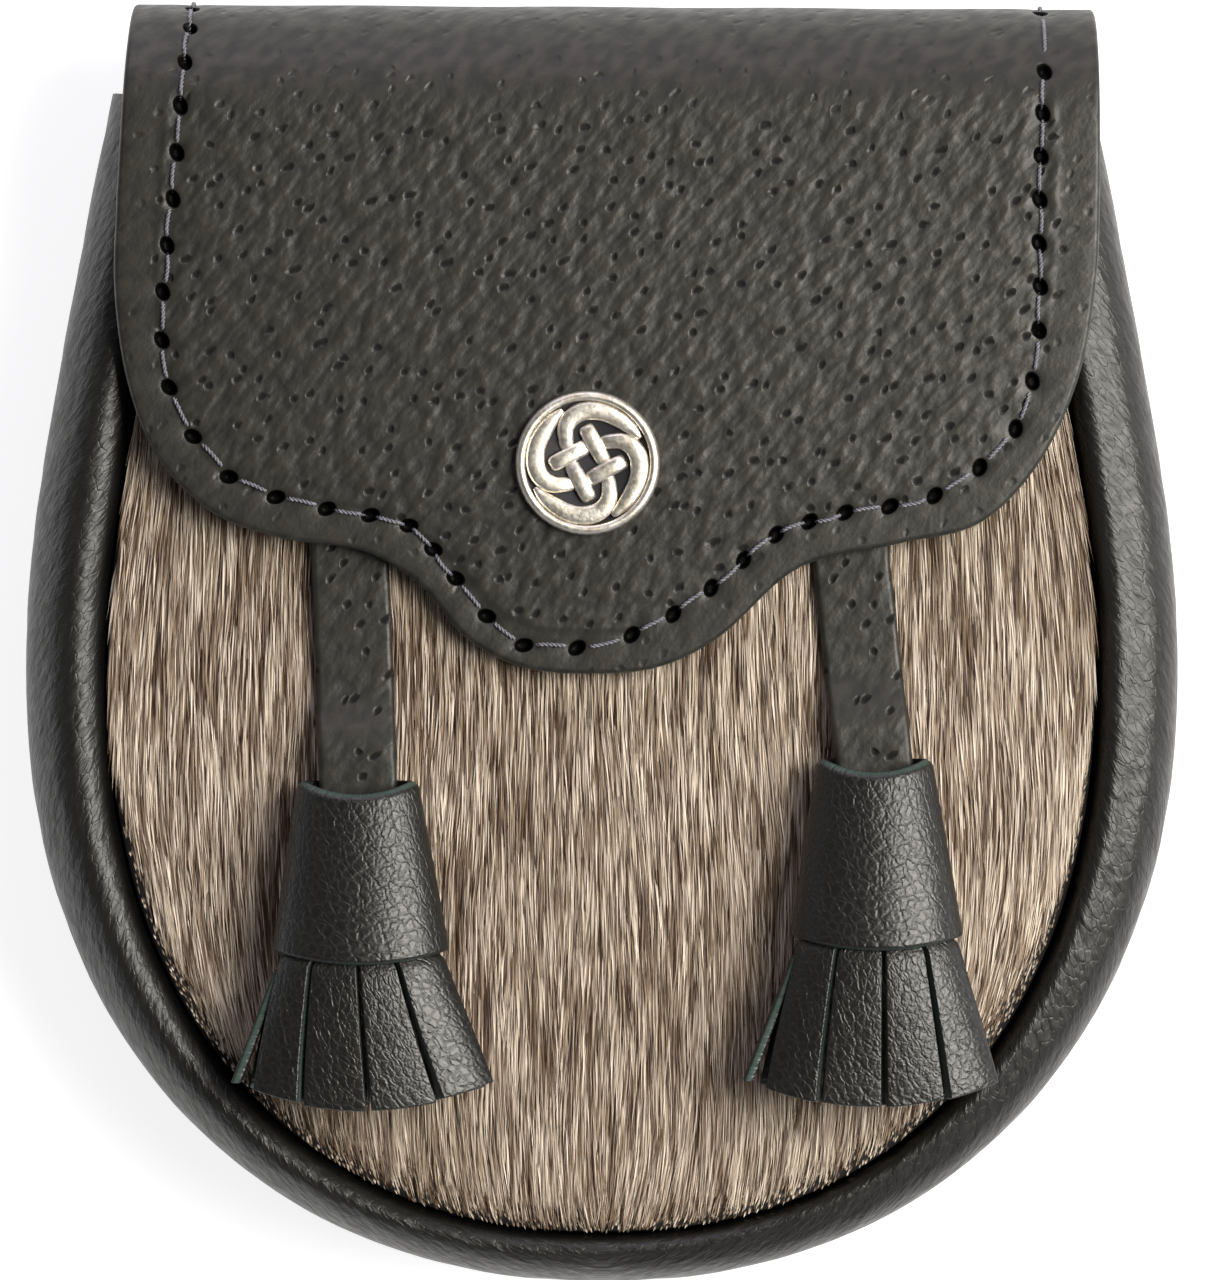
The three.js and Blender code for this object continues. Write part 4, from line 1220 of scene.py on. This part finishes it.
def thread_path():
    """Points along the thread, in millimetres."""
    side = np.column_stack([-np.sin(hole_turn), np.cos(hole_turn)])
    sway = np.random.default_rng(SEED).uniform(-1, 1, len(holes)) * THREAD_SLACK
    places = []
    for k in range(len(holes) - 1):
        t = np.arange(STEPS_BETWEEN) / STEPS_BETWEEN
        arc = np.sin(t * math.pi)
        flat_place = mix(holes[k], holes[k + 1], t[:, None])
        flat_place = flat_place + side[k] * (sway[k] * arc)[:, None]
        lift = mix(THREAD_DIP, THREAD_LIFT, ease(arc, 0.4, 0.75))
        places.append(np.column_stack([flat_place, lift]))
    places = np.vstack(places)
    return flap_place(places[:, 0], places[:, 1], FLAP_THICKNESS / 2 + places[:, 2])


def line_mesh(name, points):
    """A mesh of edges through the points, in metres."""
    mesh = bpy.data.meshes.new(name)
    edges = [(k, k + 1) for k in range(len(points) - 1)]
    mesh.from_pydata((points * MM).tolist(), edges, [])
    return mesh


path = thread_path()
print(f"thread path {len(path)} points")

# %% Thread as a Geometry Nodes tree
def thread_tree():
    """Two plies twisted round a path."""
    tree, inside, outside = new_tree(
        "Twisted thread", Ply=float, Pitch=float, Step=float, Sides=int, Finish=bpy.types.Material)
    value = inside.outputs
    line = add(tree, "GeometryNodeMeshToCurve", {"Mesh": value["Geometry"]}).outputs[0]
    line = add(tree, "GeometryNodeResampleCurve", {"Curve": line, "Length": value["Step"]}, mode="LENGTH")
    twin = add(tree, "GeometryNodeDuplicateElements", {"Geometry": line.outputs[0], "Amount": 2},
               domain="SPLINE")
    reach = add(tree, "GeometryNodeSplineParameter").outputs["Length"]
    turn = calc(tree, "DIVIDE", calc(tree, "MULTIPLY", reach, math.tau), value["Pitch"])
    turn = calc(tree, "ADD", turn, calc(tree, "MULTIPLY", twin.outputs[1], math.pi))
    normal = add(tree, "GeometryNodeInputNormal").outputs[0]
    tangent = add(tree, "GeometryNodeInputTangent").outputs[0]
    across = calc_vector(tree, "CROSS_PRODUCT", tangent, normal)
    offset = calc_vector(tree, "ADD", scaled(tree, normal, calc(tree, "COSINE", turn)),
                         scaled(tree, across, calc(tree, "SINE", turn)))
    plies = add(tree, "GeometryNodeSetPosition", {
        "Geometry": twin.outputs[0], "Offset": scaled(tree, offset, value["Ply"])}).outputs[0]
    ring = add(tree, "GeometryNodeCurvePrimitiveCircle", {
        "Resolution": value["Sides"], "Radius": value["Ply"]})
    thread = add(tree, "GeometryNodeCurveToMesh", {
        "Curve": plies, "Profile Curve": ring.outputs[0], "Fill Caps": True}).outputs[0]
    thread = add(tree, "GeometryNodeSetShadeSmooth", {"Geometry": thread}).outputs[0]
    thread = add(tree, "GeometryNodeRealizeInstances", {"Geometry": thread}).outputs[0]
    thread = add(tree, "GeometryNodeSetMaterial", {"Geometry": thread, "Material": value["Finish"]})
    tree.links.new(thread.outputs[0], outside.inputs[0])
    return tree


thread_finish, tree, shader = new_finish("waxed_thread")
fibre = noise(tree, in_millimetres(tree), 1.5, 2)
fibre_colour = tint(tree, fibre, (0.05, 0.05, 0.06, 1), (0.24, 0.24, 0.28, 1))
fill(tree, shader, {"Base Color": fibre_colour, "Roughness": 0.5})
thread = grow("stitching", thread_tree(), line_mesh("path", path), Ply=0.18 * MM, Pitch=1.4 * MM,
              Step=0.3 * MM, Sides=5, Finish=thread_finish)
dress(thread, None, "waxed_thread")

# %% [markdown]
# ## The stud
# A cast stud sits in the middle of the flap: a domed rim round a sunk floor, with a traditional knot
# of four bands. Every band is the same, turned by a quarter. A band shows twice: as a short straight
# bar in the middle and as an arm that curls along the rim. Cast knots have flat tops and sharp
# bevels, so each stretch is a strip with a bevelled section that dives where it goes under.

# %% Turned body of the stud
STUD_RADIUS = 11.1
STUD_GAP = 0.3
STUD_PROFILE = [
    (0.0, 0.0), (0.93, 0.0), (0.97, 0.15), (0.995, 0.5), (1.0, 0.85), (0.993, 1.2), (0.975, 1.5),
    (0.95, 1.7), (0.92, 1.76), (0.89, 1.68), (0.872, 1.5), (0.864, 1.2), (0.86, 0.8),
    (0.85, 0.62), (0.0, 0.62),
]
STUD_SIDES = 120
stud_base = float(flap_front_z(*np.array([STUD_PLACE]).T)[0]) + FLAP_THICKNESS / 2 + STUD_GAP


def turned_body(profile, sides):
    """A profile turned round the Z axis, closed at both ends on the axis."""
    rim = np.array(profile[1:-1])
    angle = np.linspace(0, math.tau, sides, endpoint=False)
    points = [(r * STUD_RADIUS * math.cos(a), r * STUD_RADIUS * math.sin(a), z)
              for a in angle for r, z in rim]
    count = len(rim)
    faces = [list(f) for f in grid_faces(sides, count, ring=True)]
    for end, column in ((0, 0), (-1, count - 1)):
        points.append((0, 0, profile[end][1]))
        middle = len(points) - 1
        for k in range(sides):
            faces.append([middle, k * count + column, (k + 1) % sides * count + column])
    return np.array(points), faces


body_points, body_faces = turned_body(STUD_PROFILE, STUD_SIDES)
print(f"stud body {len(body_faces)} faces, base at z {stud_base:.1f} mm")

# %% Bands of the knot
BAND_COUNT = 4
BAND_FLOOR = 0.5
BEVEL = 0.4
# x and y as shares of the stud's radius, half width as a share, top in millimetres
BAR = [
    (0.0, -0.238, 0.1, 0.95), (0.05, -0.212, 0.108, 1.3), (0.14, -0.163, 0.111, 1.58),
    (0.27, -0.094, 0.112, 1.68), (0.4, -0.025, 0.112, 1.66), (0.47, 0.012, 0.108, 1.5),
    (0.512, 0.034, 0.09, 1.2), (0.525, 0.041, 0.07, 0.9),
]
ARM = [
    (0.16, 0.28, 0.09, 0.95), (0.23, 0.287, 0.098, 1.2), (0.34, 0.3, 0.106, 1.45),
    (0.48, 0.3, 0.116, 1.56), (0.61, 0.235, 0.126, 1.58), (0.7, 0.1, 0.13, 1.58),
    (0.724, -0.07, 0.13, 1.58), (0.69, -0.26, 0.126, 1.58), (0.6, -0.44, 0.116, 1.57),
    (0.48, -0.6, 0.09, 1.54), (0.39, -0.69, 0.055, 1.46), (0.345, -0.73, 0.03, 1.3),
]


def band(rows):
    """A strip with a bevelled section along a line, closed at both ends."""
    line = spaced(smooth_line(rows), 0.025)
    middle = line[:, :2] * STUD_RADIUS
    half = line[:, 2] * STUD_RADIUS
    top = line[:, 3]
    way = np.gradient(middle, axis=0)
    way /= np.linalg.norm(way, axis=1)[:, None]
    side = np.column_stack([-way[:, 1], way[:, 0]])
    bevel = np.minimum(BEVEL, half * 0.45)
    section = []
    for sign in (-1, 1):
        edge = [(half, np.full(len(top), BAND_FLOOR)), (half, top - bevel * 1.1),
                (half - bevel * 0.15, top - bevel * 0.85), (half - bevel * 0.85, top - bevel * 0.15),
                (half - bevel * 1.15, top)]
        edge = [(sign * reach, z) for reach, z in edge]
        section += edge if sign < 0 else edge[::-1]
    points = np.stack([np.column_stack([middle + side * reach[:, None], z]) for reach, z in section], 1)
    rows_count, columns = points.shape[:2]
    points = points.reshape(-1, 3)
    loop = grid_faces(columns, rows_count, ring=True)
    faces = [list(f) for f in (loop % rows_count) * columns + loop // rows_count]
    faces.append(list(range(columns)))
    faces.append(list(range(len(points) - columns, len(points))))
    return points, faces


def quarter_turned(points, k):
    """Points turned by k quarters round Z."""
    turn = math.tau * k / BAND_COUNT
    x, y, z = points.T
    return np.column_stack([
        x * math.cos(turn) - y * math.sin(turn), x * math.sin(turn) + y * math.cos(turn), z])


parts = [(body_points, body_faces)]
for rows in (BAR, ARM):
    points, faces = band(rows)
    parts += [(quarter_turned(points, k), faces) for k in range(BAND_COUNT)]
print(f"{len(parts) - 1} strips in the knot")

# %% Antique silver
SILVER_BRIGHT = (0.83, 0.79, 0.72, 1)
SILVER_DULL = (0.6, 0.55, 0.45, 1)
SILVER_BLACK = (0.02, 0.018, 0.022, 1)
CASTING_DEPTH = 0.025


def antique_silver():
    """Polished high points, dull flats and blackened recesses."""
    finish, tree, shader = new_finish("antique_silver")
    place = in_millimetres(tree)
    tarnish = noise(tree, place, 0.35, 4, 0.6)
    metal = tint(tree, eased(tree, tarnish, 0.35, 0.7), SILVER_BRIGHT, SILVER_DULL)
    dark = mark(tree, "Dark")
    worn = noise(tree, place, 1.6, 3)
    rough = calc(tree, "ADD", eased(tree, worn, 0.3, 0.7, 0.34, 0.46), calc(tree, "MULTIPLY", dark, 0.3))
    casting = noise(tree, place, 2.2, 3)
    bump = add(tree, "ShaderNodeBump", {
        "Height": casting, "Distance": CASTING_DEPTH * MM, "Strength": 1.0})
    fill(tree, shader, {
        "Base Color": tint(tree, dark, metal, SILVER_BLACK), "Roughness": rough,
        "Metallic": eased(tree, dark, 0, 1, 1, 0.3), "Normal": bump.outputs[0]})
    return finish


def joined(parts):
    """One list of points and faces from several."""
    points, faces, first = [], [], 0
    for part_points, part_faces in parts:
        points.append(part_points)
        faces += [[first + int(k) for k in face] for face in part_faces]
        first += len(part_points)
    return np.vstack(points), faces


silver_finish = antique_silver()
points, faces = joined(parts)
within = np.hypot(points[:, 0], points[:, 1]) < 0.89 * STUD_RADIUS
dark = (1 - ease(points[:, 2], 0.75, 1.05)) * within
stud = build("knot_stud", points + (*STUD_PLACE, stud_base), faces, marks={"Dark": dark})
dress(stud, silver_finish, "antique_silver", "stud_cap")

# %% [markdown]
# ## The tassels
# Each tassel hangs on a flat strap: a rolled sleeve of leather with a fringe of cut strips below it.
# The uncut edge above the strips is rolled up into a head that fills the sleeve. Both tassels are the
# same kind with slightly different sizes, so a table holds what differs and the same functions make
# each one twice.

# %% Sizes of the tassels
STRAP_HALF_WIDTH = 6.0
STRAP_THICKNESS = 2.3
STRAP_REST_Z = 34.8
STRAP_CONE_Z = 38.4
STRAP_TOP_Y = 30.0
STRAP_IN_CONE = 9.0
STRAP_LEVEL = 4.0
STRAP_RAMP = 12.0
STRAP_CALM = 0.55
CONE_THICKNESS = 1.4
CONE_BACK_Z = 35.2
CONE_DEPTH = (11.0, 15.2)
CONE_DIP = (2.0, 1.8)
# half width and half depth halfway down, from which the pattern's girth is worked out
CONE_MIDDLE = (11.5, 6.5)
# how far the inner face stands past the outer one where the sleeve is cut, at its top and foot
SKIVE = (0.9, 0.5)
FRINGE_THICKNESS = 1.5
FRINGE_ROWS = [
    (-0.28, 0, 0), (0.005, 0.875, 0.8), (0.04, 0.965, 0.86), (0.1, 1.0, 0.89), (0.4, 1.17, 0.9),
    (0.7, 1.34, 0.87), (1.0, 1.5, 0.84),
]
FRINGE_FOOT_CURVE = 4.0
FRINGE_CUT = 0.02
# how far a strip's end may be longer, lifted and twisted, in millimetres
STRIP_PLAY = (0.35, 0.3, 0.5)
FRINGE_BACK_CUTS = [(-0.98, -0.9), (-0.45, -0.42), (0.05, 0.05), (0.5, 0.5), (0.98, 0.93)]
# how far up the sleeve the head reaches, as shares of what is hidden of the strips
HEAD_SPAN = (0.075, 0.925)
HEAD_SIDES = 48
HEAD_RINGS = 34
HEAD_TURNS = 4
HEAD_GROOVE = 0.9
HEAD_CUT = 0.6
EDGE_STRIP = {"mouth": 0.74, "flare": 0.95, "foot": 1.0, "behind": 3.6, "infront": 2.4}
TASSELS = [
    {"side": "left", "strap": (-38.9, 14.2), "top": (-37.5, -22.0, 9.4), "foot": (-37.0, -47.2, 13.65),
     "fringe": (-36.4, -71.6),
     "cuts": [(-0.97, -0.86), (-0.58, -0.475), (-0.02, 0.045), (0.44, 0.575), (1, 1)]},
    {"side": "right", "strap": (38.4, 13.3), "top": (41.9, -18.6, 9.0), "foot": (42.2, -45.0, 13.3),
     "fringe": (41.6, -71.3),
     "cuts": [(-0.97, -0.86), (-0.5, -0.425), (0.07, 0.08), (0.58, 0.57), (1, 1)]},
]
print(f"{len(TASSELS)} tassels")

# %% Straps
def make_strap(tassel):
    """A flat strap that comes out from under the flap and dives into the sleeve."""
    top_x, top_y = tassel["strap"]
    cone_x, cone_y, _ = tassel["top"]
    length = STRAP_TOP_Y - cone_y + STRAP_IN_CONE

    def place(u, v, side):
        y = STRAP_TOP_Y - u
        share = np.clip((top_y - y) / (top_y - cone_y), 0, 1)
        x = mix(top_x, cone_x, share) + v - STRAP_HALF_WIDTH
        rise = 1 - ease(y, cone_y + STRAP_LEVEL, cone_y + STRAP_LEVEL + STRAP_RAMP)
        z = mix(STRAP_REST_Z, STRAP_CONE_Z, rise) + STRAP_THICKNESS * (1 + side) / 2
        return np.column_stack([x, y, z])

    points, faces, along, cut = sheet(length, 2 * STRAP_HALF_WIDTH, 1.0, place, rim=1.0)
    name = f"strap_{tassel['side']}"
    marks = {"Cut": cut * 0.35, "Border": np.full(len(cut), STRAP_CALM)}
    return build(name, points, faces, along[:, ::-1] * (1, -1), marks)


for tassel in TASSELS:
    dress(make_strap(tassel), pigskin_finish, "pigskin_leather", f"tassel_strap_{tassel['side']}")

# %% Sleeves
def cone_size(tassel, share):
    """Centre x and z, half width and half depth of the sleeve, a share of the way down."""
    half_depth = mix(CONE_DEPTH[0], CONE_DEPTH[1], share) / 2
    x = mix(tassel["top"][0], tassel["foot"][0], share)
    half_width = mix(tassel["top"][2], tassel["foot"][2], share)
    return x, CONE_BACK_Z + half_depth, half_width, half_depth


def make_sleeve(tassel):
    """A rolled cone of leather, open at both ends."""
    top_y, foot_y = tassel["top"][1], tassel["foot"][1]
    girth = math.tau * math.sqrt((CONE_MIDDLE[0]**2 + CONE_MIDDLE[1]**2) / 2)
    height = top_y - foot_y

    def place(u, v, side):
        angle = math.tau * u / girth
        share = v / height
        x, z, half_width, half_depth = cone_size(tassel, share)
        front = np.maximum(0, np.sin(angle)) ** 2
        inset = CONE_THICKNESS * (1 - side) / 2
        slant = SKIVE[0] * (1 - ease(v, 0, 2)) - SKIVE[1] * ease(v, height - 2, height)
        y = mix(top_y - CONE_DIP[0] * front, foot_y - CONE_DIP[1] * front, share)
        y = y + slant * (1 - side) / 2
        across = (half_width - inset) * np.cos(angle)
        return np.column_stack([x + across, y, z + (half_depth - inset) * np.sin(angle)])

    points, faces, along, cut = sheet(girth, height, 0.8, place, rim=0.5, ring=True)
    return build(f"sleeve_{tassel['side']}", points, faces, along, {"Cut": cut})


for tassel in TASSELS:
    dress(make_sleeve(tassel), pebbled_finish, "grain_leather", f"tassel_cone_{tassel['side']}")

# %% Fringes
def fringe_size(tassel, share):
    """Centre x and z, half width and half depth of the fringe at a share of its length."""
    fall = tassel["foot"][1] - tassel["fringe"][1]
    height = tassel["top"][1] - tassel["foot"][1]
    mouth = cone_size(tassel, 1.0)
    play = CONE_THICKNESS + GAP
    table = []
    for row, width, depth in FRINGE_ROWS:
        inside = cone_size(tassel, 1 + min(0, row * fall / height))
        wide = mouth[2] * width if row > 0 else inside[2] - play
        deep = mouth[3] * depth if row > 0 else inside[3] - play
        table.append((row, mix(mouth[0], tassel["fringe"][0], max(0, row)), inside[1], wide, deep))
    table = np.array(table)
    return [np.interp(share, table[:, 0], table[:, k]) for k in range(1, 5)]


def fringe_strip(tassel, cut, next_cut, layer, loose):
    """One hanging strip, on the front (layer 1) or the back (layer -1) of the fringe."""
    first, foot_y, fringe_y = FRINGE_ROWS[0][0], tassel["foot"][1], tassel["fringe"][1]
    length = (1 - first) * (foot_y - fringe_y)
    wide = tassel["foot"][2] * 1.3 * (next_cut[1] - cut[1])

    def place(u, v, side):
        share = mix(first, 1, u / length)
        x, z, half_width, half_depth = fringe_size(tassel, share)
        flare = np.maximum(0, share)
        low = mix(cut[0], cut[1], flare) + FRINGE_CUT
        high = mix(next_cut[0], next_cut[1], flare) - FRINGE_CUT
        across = mix(low, high, v / wide)
        inset = FRINGE_THICKNESS * (1 - side) / 2
        round_share = np.maximum(0, 1 - across**2)
        mouth_y = foot_y - max(0, layer) * CONE_DIP[1] * round_share
        end_y = fringe_y + FRINGE_FOOT_CURVE * across**2 + loose[0] * flare
        y = mix(mouth_y, end_y, share)
        lift = loose[1] * flare**2 + loose[2] * flare * (v / wide - 0.5)
        z = z + layer * (half_depth * np.sqrt(round_share) - inset) + lift
        return np.column_stack([x + (half_width - inset) * across, y, z])

    return sheet(length, wide, 1.0, place, rim=0.3)


def edge_strip(tassel):
    """The strip that stands on edge at the left of the fringe."""
    first, foot_y, fringe_y = FRINGE_ROWS[0][0], tassel["foot"][1], tassel["fringe"][1]
    length = (1 - first) * (foot_y - fringe_y)
    wide = EDGE_STRIP["behind"] + EDGE_STRIP["infront"]

    def place(u, v, side):
        share = mix(first, 1, u / length)
        x, z, half_width, _ = fringe_size(tassel, share)
        reach = np.interp(share, (0, 0.15, 1), [EDGE_STRIP[key] for key in ("mouth", "flare", "foot")])
        inset = FRINGE_THICKNESS * (1 - side) / 2
        y = mix(foot_y, fringe_y + FRINGE_FOOT_CURVE, share)
        return np.column_stack([x - half_width * reach + inset, y, z + v - EDGE_STRIP["behind"]])

    return sheet(length, wide, 1.0, place, rim=0.3)


def rolled_head(tassel):
    """The uncut edge above the strips, rolled up tight into a plug that fills the sleeve."""
    first, foot_y, fringe_y = FRINGE_ROWS[0][0], tassel["foot"][1], tassel["fringe"][1]
    low, high = foot_y - first * (foot_y - fringe_y) * np.array(HEAD_SPAN)
    x, z, half_width, half_depth = fringe_size(tassel, first / 2)
    turn = np.linspace(0, math.tau, HEAD_SIDES, endpoint=False)[:, None]
    share = np.r_[np.linspace(0.05, 1, HEAD_RINGS), 1, 0.05]
    layers = np.sin(math.pi * (HEAD_TURNS * share - turn / math.tau)) ** 2
    y = np.where(np.arange(len(share)) < HEAD_RINGS, low + HEAD_GROOVE * (1 - layers) ** 3, high)
    across = (half_width - FRINGE_THICKNESS / 2) * share * np.cos(turn)
    deep = (half_depth - FRINGE_THICKNESS / 2) * share * np.sin(turn)
    points = np.stack([x + across, y, z + deep], -1).reshape(-1, 3)
    points = np.vstack([points, (x, low, z), (x, high, z)])
    faces = grid_faces(HEAD_SIDES, len(share), ring=True).tolist()
    for ring, pole in ((0, len(points) - 2), (len(share) - 1, len(points) - 1)):
        around = np.arange(HEAD_SIDES) * len(share) + ring
        faces += np.column_stack([around, np.roll(around, -1), np.full(HEAD_SIDES, pole)]).tolist()
    along = np.column_stack([points[:, 1] + points[:, 2], points[:, 0]])
    return points, faces, along, np.where(points[:, 1] < high, HEAD_CUT, 0.0)


def make_fringe(tassel, chance):
    """All the strips of a tassel and their head as one piece."""
    strips = []
    for layer, cuts in ((1, tassel["cuts"]), (-1, FRINGE_BACK_CUTS)):
        for cut, next_cut in zip(cuts, cuts[1:]):
            loose = chance.uniform(-1, 1, 3) * STRIP_PLAY
            strips.append(fringe_strip(tassel, cut, next_cut, layer, loose))
    strips += [edge_strip(tassel), rolled_head(tassel)]
    points, faces = joined([(strip[0], strip[1]) for strip in strips])
    along = np.vstack([strip[2][:, ::-1] * (1, -1) + (40 * k, 0) for k, strip in enumerate(strips)])
    cut = np.concatenate([strip[3] for strip in strips])
    return build(f"fringe_{tassel['side']}", points, faces, along, {"Cut": cut})


chance = np.random.default_rng(SEED)
for tassel in TASSELS:
    fringe = make_fringe(tassel, chance)
    dress(fringe, pebbled_finish, "grain_leather", f"tassel_fringe_{tassel['side']}")

# %% [markdown]
# ## Plain parts
# The flat back and the hidden post keep their solids. The back gets the same calf as the wall, read
# from its place in space because it has no pattern of its own.

# %% Finish of the plain parts
def finish_solid(name, finish):
    """Puts a finish on every slot of a solid."""
    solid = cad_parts[name]
    for material_slot in solid.material_slots:
        material_slot.material = finish
    print(f"{name}: finished as {finish.name}")


back_finish = leather("back_leather", calf, 0.42, place_of=in_millimetres)
finish_solid("back_panel", back_finish)
finish_solid("snap_post", silver_finish)
